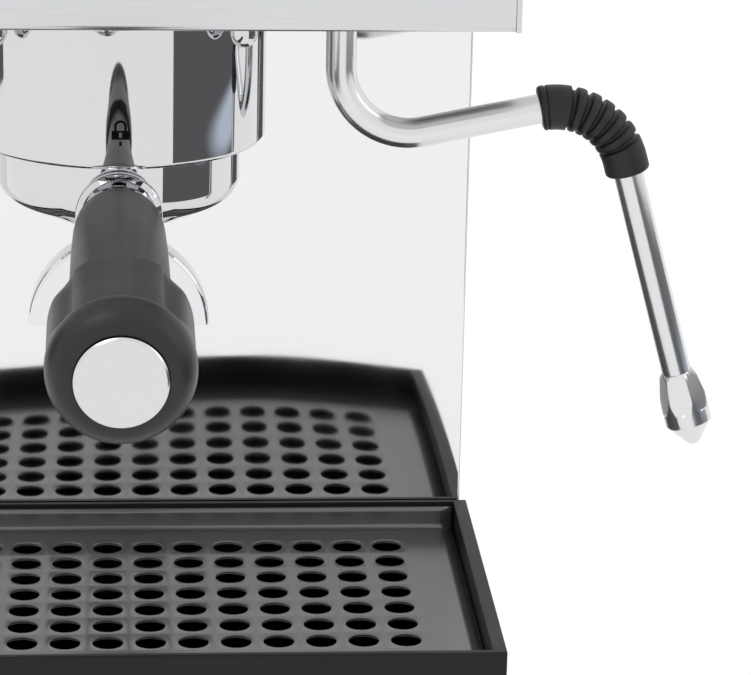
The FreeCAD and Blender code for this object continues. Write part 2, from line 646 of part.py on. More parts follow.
def make_group():
    """Group head under the boiler, its chrome cover, bayonet ring, gasket and shower screen."""
    plate_low = "head_floor + panel_gauge"
    plate_top = "head_floor + 2 * panel_gauge"
    ring_top = "rim_top + 8.8"
    shell = cut("cover_shell", rod("cover_outer", "cover_radius", ("cover_floor", plate_low)),
                rod("cover_bore", "cover_radius - cover_gauge", ("cover_floor - 1", f"{plate_low} + 1")))
    doc.recompute()
    edge_round = doc.addObject("Part::Fillet", "group_cover")
    edge_round.Base = shell
    low = mm("cover_floor")
    edge_round.Edges = [(k, 0.5, 0.5) for k, edge in enumerate(shell.Shape.Edges, start=1)
                        if abs(edge.BoundBox.ZMax - low) < NEAR and edge.BoundBox.XLength > 1]
    keep(edge_round)

    entry = ("lug_ring_floor - 1", "lug_floor + lug_height + 0.4")
    lug_outer = "cover_radius - cover_gauge - 0.2"
    blank = rod("lug_ring_blank", lug_outer, ("lug_ring_floor", ring_top))
    bore = rod("lug_ring_bore", "lug_ring_inner", ("lug_ring_floor - 1", f"{ring_top} + 1"))
    groove = rod("lug_groove", "lug_reach + 0.5", ("lug_floor - 0.4", "lug_floor + lug_height + 0.4"))
    ways_in = [sector(f"lug_entry_{angle}", "lug_reach + 0.5", entry, angle, 46) for angle in (-45, 135)]
    keep(cut("group_lug_ring", blank, bore, groove, *ways_in))

    keep(ring("group_gasket", "lug_ring_inner - 0.05", "28.6", ("rim_top + 0.9", f"{ring_top}")))
    neck = rod("head_neck", "cover_radius - cover_gauge - 0.2", (ring_top, plate_top))
    flange = rod("head_flange", "flange_radius", (plate_top, f"{plate_top} + 8"))
    spreader = rod("head_spreader", "28.4", ("rim_top + 2.5", ring_top))
    water_way = rod("head_water_way", "3", (ring_top, f"{plate_top} + 9"))
    screw_hole = rod("head_screw_hole", "2.05", ("rim_top", f"{ring_top} - 2"))
    reach = f"stud_circle * {DIAGONAL}"
    stud_holes = []
    for side, end in QUARTERS:
        at = (f"group_x + {side} * {reach}", f"group_y + {end} * {reach}")
        stud_holes.append(rod(f"stud_hole_{len(stud_holes)}", "screw_hole",
                              (f"{plate_top} - 1", f"{plate_top} + 4"), at))
    head = join("head_blank", neck, flange, spreader)
    keep(cut("group_head", head, water_way, screw_hole, *stud_holes))
    pan = rod("screen_pan", "28.5", ("rim_top + 1.1", "rim_top + 2.4"))
    keep(cut("shower_screen", pan, rod("screen_hole", "2.05", ("rim_top", "rim_top + 4"))))


def make_cap_nuts():
    """Acorn nuts with washers on the four studs that carry the group."""
    low = mm("head_floor") + mm("panel_gauge")
    reach = mm("stud_circle") * math.cos(math.radians(45))
    corners, round_part, bore = mm("nut_radius"), mm("dome_radius"), mm("screw_hole")
    washer_low, hexagon_low, dome_low, tip = -1, -5.2, -7, -11
    nut_body = hexagon(corners, hexagon_low).extrude(Vector(0, 0, washer_low - hexagon_low))
    rounding = turned([(0, hexagon_low), (corners - 0.45, hexagon_low), (corners, hexagon_low + 0.8),
                       (corners, washer_low), (0, washer_low)])
    dome = turned([(0, hexagon_low), (round_part, hexagon_low), (round_part, dome_low),
                   cap(round_part, dome_low, tip)])
    washer = turned([(0, washer_low), (corners + 1, washer_low), (corners + 1, 0), (0, 0)])
    stud = turned([(0, 0), (bore, 0), (bore, 2.4), (0, 2.4)])
    nut = nut_body.common(rounding).fuse([dome, washer, stud]).removeSplitter()
    x, y = mm("group_x"), mm("group_y")
    nuts = [nut.translated(Vector(x + side * reach, y + end * reach, low)) for side, end in QUARTERS]
    feature("cap_nuts", Part.makeCompound(nuts))


def make_screws():
    """Domed screws: one under the lip, six on the back panel, and a flat one that holds the shower screen."""
    shank, head, rise = mm("screw_radius"), 4, 0.4
    screw = turned([(0, 2.2), (shank, 2.2), (shank, 0), (head, 0), (head, -rise), cap(head, -rise, -3.4)])
    screws = [screw.translated(Vector(0, mm("lip_screw_y"), mm("head_floor")))]
    backwards = Rotation(Vector(1, 0, 0), 90)
    for side in (-1, 1):
        for z in SCREW_LEVELS:
            back = screw.copy()
            back.Placement = Placement(Vector(side * mm("back_screw_x"), mm("body_depth") / 2, z), backwards)
            screws.append(back)
    shower = turned([(0, 0.6), (2.5, 0.6), (4.4, 1.1), (2, 1.1), (2, 6), (0, 6)])
    screws.append(shower.translated(Vector(mm("group_x"), mm("group_y"), mm("rim_top"))))
    feature("screws", Part.makeCompound(screws))


def make_boiler():
    """Two-piece brass boiler bolted through its flanges, with the element and thermostats on top."""
    seat = "head_floor + 2 * panel_gauge + 8"
    inside = "boiler_radius - boiler_wall"
    flange = "boiler_radius + 9"
    cup = rod("boiler_cup", "boiler_radius", (seat, "boiler_split"))
    low_flange = rod("boiler_cup_flange", flange, ("boiler_split - 4", "boiler_split"))
    hollow = rod("boiler_cup_hollow", inside, (f"{seat} + 4", "boiler_split + 1"))
    outlet = rod("boiler_outlet", "3", (f"{seat} - 1", f"{seat} + 5"))
    bolt_holes = []
    for k in range(6):
        angle = f"{60 * k + 30} deg"
        bolt_holes.append((f"group_x + bolt_circle * cos({angle})", f"group_y + bolt_circle * sin({angle})"))
    low_holes = [rod(f"cup_hole_{k}", "2.1", ("boiler_split - 5", "boiler_split + 1"), at)
                 for k, at in enumerate(bolt_holes)]
    keep(cut("boiler_lower", join("boiler_cup_blank", cup, low_flange), hollow, outlet, *low_holes))
    bell = rod("boiler_bell", "boiler_radius", ("boiler_split", "boiler_top"))
    high_flange = rod("boiler_bell_flange", flange, ("boiler_split", "boiler_split + 4"))
    room = rod("boiler_bell_room", inside, ("boiler_split - 1", "boiler_top - 4"))
    high_holes = [rod(f"bell_hole_{k}", "2.1", ("boiler_split - 1", "boiler_split + 5"), at)
                  for k, at in enumerate(bolt_holes)]
    terminals = [rod(f"bell_terminal_{side}", "4", ("boiler_top - 5", "boiler_top + 1"),
                     (f"group_x + {side} * element_half", "group_y")) for side in (-1, 1)]
    keep(cut("boiler_upper", join("boiler_bell_blank", bell, high_flange), room, *high_holes, *terminals))
    bolts = []
    for k, at in enumerate(bolt_holes):
        shank = rod(f"bolt_shank_{k}", "2", ("boiler_split - 7.4", "boiler_split + 4"), at)
        head = rod(f"bolt_head_{k}", "3.6", ("boiler_split + 4", "boiler_split + 7.5"), at)
        nut = rod(f"bolt_nut_{k}", "3.6", ("boiler_split - 7.4", "boiler_split - 4"), at)
        bolts.append(join(f"bolt_{k}", shank, head, nut))
    keep(together("boiler_bolts", bolts))
    x, y, top, half = mm("group_x"), mm("group_y"), mm("boiler_top"), mm("element_half")
    low = mm("boiler_split") - 18
    ends = [Vector(x - half, y, top + 9), Vector(x + half, y, top + 9)]
    loop = route([ends[0], Vector(x - half, y, low), Vector(x + half, y, low), ends[1]], [half - 1, half - 1])
    seals = [Part.makeCylinder(3.95, 6, Vector(end.x, y, top - 4)) for end in ends]
    feature("heating_element", pipe(loop, 3).fuse(seals).removeSplitter())
    caps = []
    for k in (-1, 1):
        at = ("group_x", f"group_y + {k} * 20")
        can = rod(f"thermostat_can_{k}", "7", ("boiler_top", "boiler_top + 5"), at)
        top_cap = rod(f"thermostat_top_{k}", "5.5", ("boiler_top + 5", "boiler_top + 9"), at)
        caps.append(join(f"thermostat_{k}", can, top_cap))
    keep(together("thermostats", caps))


def make_solenoid():
    """Three-way valve beside the boiler and the pipe that empties it into the tray."""
    low = "head_floor + 2 * panel_gauge"
    at = ("solenoid_x", "solenoid_y")
    block = box("solenoid_block", ("solenoid_x - 8", "solenoid_x + 8"),
                ("solenoid_y - 10", "solenoid_y + 10"), (f"{low} + 4", f"{low} + 22"))
    stem = rod("solenoid_stem", "5", (f"{low} + 22", f"{low} + 56"), at)
    port = rod("solenoid_port", "2", (f"{low}", f"{low} + 18"), at)
    arm = rod("solenoid_arm", "4", ("solenoid_x + 8", "solenoid_x + 21"),
              ("solenoid_y - 6", f"{low} + 12"), "X")
    pad = rod("solenoid_pad", "boiler_radius + 0.05", (f"{low} + 4", f"{low} + 26"))
    keep(cut("solenoid_body", join("solenoid_blank", block, stem, arm), port, pad))
    case = box("coil_case", ("solenoid_x - 17", "solenoid_x + 17"), ("solenoid_y - 17", "solenoid_y + 17"),
               (f"{low} + 25", f"{low} + 53"))
    keep(cut("solenoid_coil", case, rod("coil_bore", "5", (f"{low} + 24", f"{low} + 54"), at)))
    keep(ring("drain_pipe", "3", "2", ("drain_floor", f"{low} + 4"), at))


# ---------------------------------------------------------------- portafilter

def make_portafilter():
    """Locking ring with two lugs, basket, twin spout and the handle."""
    x, y = mm("group_x"), mm("group_y")
    outer, wall = mm("holder_radius"), mm("holder_wall")
    base, bend = mm("holder_base"), mm("holder_round")
    boss, boss_top, boss_floor, rim = mm("boss_radius"), mm("boss_top"), mm("boss_floor"), mm("rim_top")
    bore = 7
    slope = math.radians(25)
    centre = (outer - bend, base)
    touch = (centre[0] + bend * math.sin(slope), centre[1] - bend * math.cos(slope))
    middle_angle = (slope - math.pi / 2) / 2
    middle = (centre[0] + bend * math.cos(middle_angle), centre[1] + bend * math.sin(middle_angle))
    cone_low = (boss, touch[1] - (touch[0] - boss) * math.tan(slope))
    bowl = turned([(bore, boss_floor), (boss, boss_floor), cone_low, touch, (middle, (outer, base)),
                   (outer, rim), (outer - wall, rim), (outer - wall, base + 2), (boss, boss_top + 6),
                   (bore, boss_top + 6)])
    up = Vector(0, 0, 1)
    lugs = []
    for angle in (0, 180):
        slice_ = Part.makeCylinder(mm("lug_reach"), mm("lug_height"), Vector(0, 0, mm("lug_floor")), up, 40)
        slice_.rotate(Vector(), up, angle - 20)
        lugs.append(slice_.cut(Part.makeCylinder(outer - 1, 60, Vector(0, 0, 200))))
    along_handle = Rotation(Vector(1, 0, 0), 90 + mm("handle_tilt"))
    stub = Part.makeCylinder(8, 6, Vector(0, 0, -4))
    stub.Placement = Placement(Vector(0, mm("handle_y") - y, mm("handle_z")), along_handle)
    bowl_core = Part.makeCylinder(outer - wall, 60, Vector(0, 0, base + 2))
    solid = bowl.fuse([*lugs, stub.cut(bowl_core)]).removeSplitter()
    feature("portafilter_body", solid, Placement(Vector(x, y, 0), Rotation()))

    gauge = 0.6
    inner, floor, shoulder = outer - wall - gauge, rim - 24, rim - 20
    basket = turned([(0, floor), (inner - 4, floor), (inner, shoulder), (inner, rim), (outer - gauge, rim),
                     (outer - gauge, rim + gauge), (inner - gauge, rim + gauge),
                     (inner - gauge, shoulder + 0.2), (inner - 4.2, floor + gauge), (0, floor + gauge)])
    feature("filter_basket", basket, Placement(Vector(x, y, 0), Rotation()))


def make_spout():
    """Half-ring twin spout screwed into the boss, hollow and open at both mouths."""
    x, y, z = mm("group_x"), mm("group_y"), mm("spout_z")
    outer, inner, width, wall = mm("spout_outer"), mm("spout_inner"), mm("spout_width"), 1.8
    seat = mm("boss_floor") - z
    half = Part.makeBox(200, 200, 100, Vector(-100, -100, -100))
    boss = Part.makeCylinder(mm("boss_radius") + 0.1, 10, Vector(0, 0, seat))

    def arch(large, small, depth):
        start, along = Vector(0, -depth / 2, 0), Vector(0, 1, 0)
        bore = Part.makeCylinder(small, depth, start, along)
        return Part.makeCylinder(large, depth, start, along).cut(bore)

    shell = arch(outer, inner, width).cut([half, boss])
    stem = Part.makeCylinder(6.9, 12.5, Vector(0, 0, outer - 2.5))
    shell = shell.fuse(stem).removeSplitter()
    channel = arch(outer - wall, inner + wall, width - 2 * wall).cut(half.translated(Vector(0, 0, -1)))
    bore = Part.makeCylinder(3, 20, Vector(0, 0, outer - 4))
    feature("spout", shell.cut(channel).cut(bore), Placement(Vector(x, y, z), Rotation()))


def make_handle():
    """Ferrule, moulded core, grip and end disc, all turned about the drooping handle axis."""
    spot = Placement(Vector(mm("group_x"), mm("handle_y"), mm("handle_z")),
                     Rotation(Vector(1, 0, 0), 90 + mm("handle_tilt")))
    neck, late = mm("neck_start"), mm("neck_end")
    barrel, shoulder = mm("ferrule_radius"), mm("ferrule_length")
    grip, length, start, bulb = mm("grip_radius"), mm("grip_length"), mm("grip_start"), mm("bulb_radius")
    end, disc, tang = start + length, mm("disc_radius"), 8
    bead = ((barrel + 1.2, 1.6), (barrel, 3))
    collar = turned([(tang, 0.2), (barrel, 0.2), bead, (barrel, shoulder), (tang, shoulder)])
    feature("portafilter_ferrule", collar, spot)
    core = neck - 0.6
    moulding = turned([(0, 2.2), (tang - 0.1, 2.2), (tang - 0.1, shoulder + 0.1), (core, shoulder + 0.1),
                       (neck, shoulder + 0.8), (late, start), (core, start), (core, end - 12), (0, end - 12)])
    feature("handle_core", moulding, spot)
    swell = (grip + bulb) / 2 + 0.5
    side = ((swell, start + 16), (bulb, end - 14))
    roll = ((bulb - 2.05, end - 2.05), (bulb - 7, end))
    shell = turned([(core, start), (late + 1, start), (grip, start + 1.2), side, (bulb, end - 7), roll,
                    (disc, end), (disc, end - 1.5), (0, end - 1.5), (0, end - 12), (core, end - 12)])
    feature("handle_grip", shell, spot)
    low, high = end - 1.5, end + 1.5
    plate = turned([(0, low), (disc, low), (disc, high - 0.6), (disc - 0.6, high), (0, high)])
    feature("handle_end_disc", plate, spot)


# ---------------------------------------------------------------- steam valve and wand

def wand_points():
    """The wand's route: down through the head, up and out to the side, then down to the tip."""
    x, y, top = mm("wand_x"), mm("wand_y"), mm("wand_top")
    rise, lean = math.radians(mm("wand_rise")), math.radians(mm("wand_lean"))
    low = Vector(x, y, mm("wand_low"))
    bend = low + Vector(math.cos(rise), 0, math.sin(rise)) * mm("wand_out")
    foot = bend + Vector(math.sin(lean), 0, -math.cos(lean)) * mm("wand_down")
    return [Vector(x, y, top), low, bend, foot]


def make_wand():
    """Bent steam tube, the rubber sleeve to hold it by and the screwed-on tip."""
    points = wand_points()
    path = route(points, [mm("first_bend"), mm("second_bend")])
    feature("steam_tube", pipe(path, mm("wand_radius")).cut(pipe(path, mm("wand_bore"))))
    into = (points[1] - points[2]).normalize()
    out = (points[3] - points[2]).normalize()
    skin, root = mm("sleeve_radius"), mm("sleeve_radius") - mm("groove_depth")
    ends = [points[2] + into * mm("sleeve_above"), points[2] + out * mm("sleeve_below")]
    sleeve_path = route([ends[0], points[2], ends[1]], [mm("second_bend")])
    arc = sleeve_path.Edges[1]
    rubber = pipe(sleeve_path, root)
    first, last, count = mm("first_cuff"), mm("last_cuff"), int(mm("sleeve_ribs"))
    cuffs = [pipe(stretch(arc, 0, first, [sleeve_path.Edges[0]]), skin),
             pipe(stretch(arc, last, 1, [], [sleeve_path.Edges[2]]), skin)]
    gap = mm("groove_share")
    pitch = (last - first) / (count + gap)
    ribs = [pipe(stretch(arc, first + pitch * (k + gap), first + pitch * (k + 1)), skin)
            for k in range(count)]
    rubber = rubber.fuse(cuffs + ribs)
    feature("rubber_sleeve", rubber.cut(pipe(path, mm("wand_radius"))))

    length, wide, tube = mm("tip_length"), mm("tip_radius"), mm("wand_radius")
    jet, socket, band, cone = 0.8, mm("tip_socket"), length * 0.51, length * 0.7
    blank = turned([(tube, 0), (tube + 0.5, 0), (wide, band), (wide, cone), (jet * 2, length),
                    (jet, length), (jet, socket), (tube, socket)])
    shaped = blank.common(hexagon(wide + 0.45, 0).extrude(Vector(0, 0, length)))
    shaped = shaped.fuse(blank.common(Part.makeCylinder(wide, length, Vector(0, 0, band)))).removeSplitter()
    feature("steam_tip", shaped, Placement(points[3] - out * socket, Rotation(Vector(0, 0, 1), out)))


def make_steam_valve():
    """Needle valve behind the front panel, its spindle and the knob."""
    at, wand = ("knob_x", "knob_z"), ("wand_x", "wand_y")
    block = box("valve_block", ("wand_x - 9", "wand_x + 9"), ("wand_y - 10", "wand_y + 10"),
                ("wand_top + 2", "wand_top + 26"))
    barrel = rod("valve_barrel", "8", ("-144", "wand_y - 9"), at, "Y")
    socket = rod("valve_socket", "8", ("wand_top - 10.6", "wand_top + 3"), wand)
    chamber = rod("valve_chamber", "4.2", ("-150", "wand_y + 4"), at, "Y")
    swivel = rod("valve_swivel", "wand_radius + 0.05", ("wand_top - 12", "wand_top + 0.3"), wand)
    port = rod("valve_port", "2", ("wand_top - 1", "knob_z"), wand)
    inlet = rod("valve_inlet", "2.5", ("knob_z", "wand_top + 27"), wand)
    keep(cut("steam_valve_body", join("valve_blank", block, barrel, socket), chamber, swivel, port, inlet))
    stem = rod("spindle_stem", "4.15", ("-158", "-104"), at, "Y")
    needle = taper("spindle_needle", ("4.15", "1"), ("-104", "-100"), at, "Y")
    keep(join("steam_spindle", stem, needle))

    radius, depth = mm("knob_radius"), mm("knob_depth")
    blank = turned([(4.2, 0), (radius - 2.5, 0), (radius - 1.5, 1), (radius, 4), (radius, depth - 3),
                    ((radius - 0.9, depth - 0.9), (radius - 3, depth)), (0, depth), (0, 6.2), (4.2, 6.2)])
    flutes = []
    for k in range(12):
        a = math.radians(30 * k)
        spot = Vector((radius + 1.6) * math.cos(a), (radius + 1.6) * math.sin(a), 4.5)
        flutes.append(Part.makeCylinder(2.6, depth, spot))
    spot = Vector(mm("knob_x"), -mm("body_depth") / 2 - 1.8, mm("knob_z"))
    feature("steam_knob", blank.cut(flutes), Placement(spot, Rotation(Vector(1, 0, 0), 90)))

    x, y = mm("group_x"), mm("group_y")
    side = math.sqrt(mm("boiler_radius") ** 2 - (mm("wand_y") - y) ** 2)
    start = Vector(x + side - 0.6, mm("wand_y"), mm("steam_level"))
    top = Vector(mm("wand_x"), mm("wand_y"), mm("steam_level"))
    steam_run = pipe(route([start, top, Vector(top.x, top.y, mm("wand_top") + 26)], [10]), 2.5)
    boiler = Part.makeCylinder(mm("boiler_radius"), 40, Vector(x, y, mm("boiler_split")))
    feature("steam_pipe", steam_run.cut(boiler))


# ---------------------------------------------------------------- gauge, switches and lamps

def make_gauge():
    """Pump pressure gauge: can and bezel in one, dial, needle and glass."""
    at = ("gauge_x", "gauge_z")
    front = "-body_depth / 2"
    can = rod("gauge_can", "gauge_radius - 2", (f"{front}", f"{front} + 26"), at, "Y")
    bezel = rod("gauge_bezel", "gauge_radius", (f"{front} - 5", front), at, "Y")
    stub = rod("gauge_stub", "5", (f"{front} + 26", f"{front} + 38"), at, "Y")
    well = rod("gauge_well", "gauge_radius - 3", (f"{front} - 6", f"{front} + 2"), at, "Y")
    lip = rod("gauge_lip", "gauge_radius - 2.2", (f"{front} - 3.9", f"{front} - 3"), at, "Y")
    keep(cut("gauge_case", join("gauge_blank", can, bezel, stub), well, lip))
    keep(rod("gauge_dial", "gauge_radius - 3", (f"{front} + 1", f"{front} + 2"), at, "Y"))
    keep(rod("gauge_glass", "gauge_radius - 2.3", (f"{front} - 3.8", f"{front} - 3.05"), at, "Y"))
    length, tail, width, point = 17, -5, 1.4, 0.35
    corners = [(-width, tail), (width, tail), (point, length), (-point, length), (-width, tail)]
    blade = Part.Face(Part.makePolygon([Vector(x, 0, z) for x, z in corners]))
    hub = Part.makeCylinder(2.6, 1.2, Vector(0, -0.4, 0), Vector(0, 1, 0))
    needle = blade.extrude(Vector(0, 0.6, 0)).fuse(hub).removeSplitter()
    spot = Vector(mm("gauge_x"), -mm("body_depth") / 2 - 0.9, mm("gauge_z"))
    feature("gauge_needle", needle, Placement(spot, Rotation(Vector(0, 1, 0), -135)))


def make_switches():
    """Three rocker switches: frames in one node, each rocker in its own."""
    front = "-body_depth / 2"
    frames = []
    for k in range(3):
        x = f"rocker_first + {k} * rocker_pitch"

        def block(name, rim, y):
            """A box whose sides stand out from the case by rim."""
            return box(f"{name}_{k}", (f"{x} - switch_wide - ({rim})", f"{x} + switch_wide + {rim}"), y,
                       (f"rocker_z - switch_tall - ({rim})", f"rocker_z + switch_tall + {rim}"))

        bezel = block("frame_bezel", "switch_wall", (f"{front} - 2", front))
        case = block("frame_case", "0", (front, f"{front} + 10"))
        well = block("frame_well", "0 - switch_wall", (f"{front} - 3", f"{front} + 8"))
        pivot = rod(f"frame_pivot_{k}", "rocker_pin + 0.05", (f"{x} - 8.9", f"{x} + 8.9"),
                    (f"{front} + 0.4", "rocker_z"), "X")
        frames.append(cut(f"frame_{k}", join(f"frame_blank_{k}", bezel, case), well, pivot))
    keep(together("switch_frames", frames))
    side = [(-6, -11), (-4.6, 0), (-6, 11), (2.6, 9.5), (3.6, 0), (2.6, -9.5), (-6, -11)]
    half, pin = 7.5, 8.8
    face = Part.Face(Part.makePolygon([Vector(-half, y, z) for y, z in side]))
    blank = face.extrude(Vector(2 * half, 0, 0))
    rocker = blank.makeFillet(0.7, [edge for edge in blank.Edges if edge.CenterOfMass.y < -4.7])
    rocker = rocker.fuse(Part.makeCylinder(mm("rocker_pin"), 2 * pin, Vector(-pin, 0, 0), Vector(1, 0, 0)))
    for k, name in enumerate(("rocker_power", "rocker_brew", "rocker_steam")):
        spot = Vector(mm("rocker_first") + k * mm("rocker_pitch"), 0.4 - mm("body_depth") / 2, mm("rocker_z"))
        feature(name, rocker, Placement(spot, Rotation(Vector(1, 0, 0), mm("rocker_tilt"))))


def make_lamps():
    """Jewel lamps under the switches."""
    lens, base = mm("lamp_radius"), 8
    jewel = turned([(0, 0), (lens - 0.9, 0), (lens - 0.9, base), (lens, base), cap(lens, base, base + 2.6)])
    lamps = []
    for k in range(3):
        lamp = jewel.copy()
        spot = Vector(mm("rocker_first") + k * mm("rocker_pitch"), base - mm("body_depth") / 2, mm("lamp_z"))
        lamp.Placement = Placement(spot, Rotation(Vector(1, 0, 0), 90))
        lamps.append(lamp)
    feature("indicator_lamps", Part.makeCompound(lamps))


# ---------------------------------------------------------------- tank, pump and plumbing

def upright_edges(block, radius):
    """The upright edges of a box as a fillet takes them."""
    return [(k, radius, radius) for k, edge in enumerate(block.Shape.Edges, start=1) if runs_along(edge, "z")]


def make_tank():
    """Clear lift-out tank with a hinged lid, standing on a dock that takes its outlet."""
    mid = "(tank_front + tank_back) / 2"
    shell = box("tank_shell", ("-tank_half", "tank_half"), ("tank_front", "tank_back"),
                ("tank_floor", "tank_top"))
    doc.recompute()
    soft = doc.addObject("Part::Fillet", "tank_rounded")
    soft.Base = shell
    soft.Edges = upright_edges(shell, 6)
    room = box("tank_room", ("tank_wall - tank_half", "tank_half - tank_wall"),
               ("tank_front + tank_wall", "tank_back - tank_wall"),
               ("tank_floor + tank_wall", "tank_top + 1"))
    doc.recompute()
    soft_room = doc.addObject("Part::Fillet", "room_rounded")
    soft_room.Base = room
    soft_room.Edges = upright_edges(room, 3.5)
    nozzle = rod("tank_nozzle", "7", ("tank_floor - 12", "tank_floor + 1"), ("0", mid))
    drain = rod("tank_drain", "4", ("tank_floor - 13", "tank_floor + 5"), ("0", mid))
    ears = []
    pins = []
    axis_z = "body_height - lid_gauge / 2"
    hinge = ("tank_back - 1.5", axis_z)
    for side, low, high in ((-1, "-tank_half - 2.4", "-tank_half"), (1, "tank_half", "tank_half + 2.4")):
        ears.append(box(f"ear_{side}", (low, high), ("tank_back - 9", "tank_back + 1.2"),
                        ("tank_top - 8", axis_z)))
        pin = (f"{high} - 1", f"{high} + 4") if side < 0 else (f"{low} - 4", f"{low} + 1")
        pins.append(rod(f"ear_pin_{side}", "0.9", pin, hinge, "X"))
        ears.append(rod(f"ear_round_{side}", "lid_gauge / 2", (low, high), hinge, "X"))
    keep(cut("water_tank", join("tank_blank", soft, nozzle, *ears, *pins), soft_room, drain))

    plate = box("lid_plate", ("0.4 - tank_half", "tank_half - 0.4"), ("tank_front - 1.4", "tank_back - 1.5"),
                ("body_height - lid_gauge", "body_height"))
    barrel = rod("lid_barrel", "lid_gauge / 2", ("0.4 - tank_half", "tank_half - 0.4"), hinge, "X")
    sockets = [rod(f"lid_socket_{side}", "1", (f"{side} * tank_half - 4.5", f"{side} * tank_half + 4.5"),
                   hinge, "X") for side in (-1, 1)]
    notch = rod("lid_notch", "9", ("body_height - lid_gauge / 2", "body_height + 1"), ("0", "tank_front + 2"))
    keep(cut("tank_lid", join("lid_blank", plate, barrel), *sockets, notch))

    inner = "body_width / 2 - side_gauge - fit_gap"
    back = "body_depth / 2 - panel_gauge - fit_gap"
    shelf = box("dock_shelf", (f"-({inner})", inner), ("tank_front - 6", back),
                ("tank_floor - 3.3", "tank_floor - 0.3"))
    cup = rod("dock_cup", "11", ("tank_floor - 22", "tank_floor - 3"), ("0", mid))
    barb = rod("dock_barb", "3", ("tank_floor - 30", "tank_floor - 20"), ("0", mid))
    socket = rod("dock_socket", "7.4", ("tank_floor - 14", "tank_floor"), ("0", mid))
    way = rod("dock_way", "2", ("tank_floor - 31", "tank_floor - 13"), ("0", mid))
    keep(cut("tank_dock", join("dock_blank", shelf, cup, barb), socket, way))


def make_pump():
    """Vibratory pump standing upright: tube, coil, plunger and return spring on a bracket."""
    at = ("pump_x", "pump_y")
    floor = "foot_height + pan_gauge"
    tube = rod("pump_tube", "pump_radius", ("pump_floor", "pump_top"), at)
    neck = rod("pump_neck", "4", ("pump_inlet", "pump_floor"), at)
    head = rod("pump_head", "12", ("pump_top", "pump_outlet - 10"), at)
    spigot = rod("pump_spigot", "4.5", ("pump_outlet - 10", "pump_outlet"), at)
    bore = rod("pump_bore", "plunger_radius + 0.05", ("bore_floor", "bore_top"), at)
    way = rod("pump_way", "2", ("pump_inlet - 1", "pump_outlet + 1"), at)
    keep(cut("pump_body", join("pump_blank", tube, neck, head, spigot), bore, way))
    case = box("coil_box", ("pump_x - 24", "pump_x + 24"), ("pump_y - 21", "pump_y + 21"),
               ("coil_floor", "coil_top"))
    core = rod("coil_box_bore", "pump_radius", ("coil_floor - 1", "coil_top + 1"), at)
    keep(cut("pump_coil", case, core))
    foot = box("bracket_foot", ("pump_x - 30", "pump_x + 30"), ("pump_y - 35", "pump_y + 25"),
               (floor, f"{floor} + 2"))
    wall = box("bracket_wall", ("pump_x - 30", "pump_x + 30"), ("pump_y - 23", "pump_y - 21"), (floor, "105"))
    keep(join("pump_bracket", foot, wall))
    keep(rod("pump_plunger", "plunger_radius", ("plunger_floor", "plunger_top"), at))
    gap, wire, turns, coil_radius = 0.1, 0.5, 7, 3.6
    spring_bottom = mm("plunger_top") + gap
    rise = mm("bore_top") - gap - spring_bottom - 2 * wire
    helix = Part.makeHelix(rise / turns, rise, coil_radius)
    start = Part.Wire([Part.makeCircle(wire, Vector(coil_radius, 0, 0), Vector(0, 1, 0))])
    coil = Part.Wire(helix.Edges).makePipeShell([start], True, True)
    spot = Vector(mm("pump_x"), mm("pump_y"), spring_bottom + wire)
    feature("pump_spring", coil, Placement(spot, Rotation()))


def make_hoses():
    """Silicone hose from the dock to the pump, and the pressure pipe from the pump to the boiler."""
    px, py = mm("pump_x"), mm("pump_y")
    mid = (mm("tank_front") + mm("tank_back")) / 2
    bottom, low, high = mm("tank_floor") - 30, mm("hose_level"), mm("water_level")
    suction = route([Vector(0, mid, bottom), Vector(0, mid, low), Vector(px + 12, py + 45, low),
                     Vector(px, py, low), Vector(px, py, mm("pump_inlet"))], [16, 14, 10])
    feature("hose_tank_to_pump", pipe(suction, 4))
    x, y = mm("group_x"), mm("group_y")
    boiler_side = Vector(x - mm("boiler_radius") + 0.2, y, high)
    outlet = Vector(px, py, mm("pump_outlet"))
    pressure = route([outlet, Vector(px, py, high), Vector(px, y, high), boiler_side], [25, 12])
    keep_clear = Part.makeCylinder(mm("boiler_radius"), 40, Vector(x, y, mm("boiler_split")))
    feature("pipe_pump_to_boiler", pipe(pressure, 3).cut(keep_clear))


def make_gland():
    """Gland in the back panel for the mains lead."""
    at = ("gland_x", "gland_z")
    back = "body_depth / 2"
    barrel = rod("gland_barrel", "gland_bore * 2 - 0.1", (f"{back} - 10", f"{back} + 8"), at, "Y")
    collar = rod("gland_collar", "gland_bore * 3", (back, f"{back} + 3"), at, "Y")
    nut = rod("gland_nut", "gland_bore * 3", (f"{back} - panel_gauge - 4", f"{back} - panel_gauge"), at, "Y")
    bore = rod("gland_hole_through", "gland_bore", (f"{back} - 11", f"{back} + 9"), at, "Y")
    keep(cut("cable_gland", join("gland_blank", barrel, collar, nut), bore))


def check_document():
    """Stop on any failed object, invalid sub-part or pocket that removed nothing."""
    for obj in doc.Objects:
        failed = [state for state in obj.State if state in ("Invalid", "Error")]
        assert not failed, f"{obj.Name}: {obj.State}"
        if obj.TypeId == "PartDesign::Pocket":
            assert obj.Shape.Volume < obj.BaseFeature.Shape.Volume - 0.5, f"{obj.Name} removed nothing"
    for node in nodes:
        assert not node.Shape.isNull() and node.Shape.isValid(), f"{node.Label} has no valid shape"
        assert node.Shape.Solids, f"{node.Label} holds no solid"


make_base()
make_side_panels()
make_column_panel()
make_front_panel()
make_back_panel()
make_underside_plate()
make_top_cover()
make_drip_tray()
make_drip_grid()
make_group()
make_cap_nuts()
make_screws()
make_boiler()
make_solenoid()
make_portafilter()
make_spout()
make_handle()
make_wand()
make_steam_valve()
make_gauge()
make_switches()
make_lamps()
make_tank()
make_pump()
make_hoses()
make_gland()

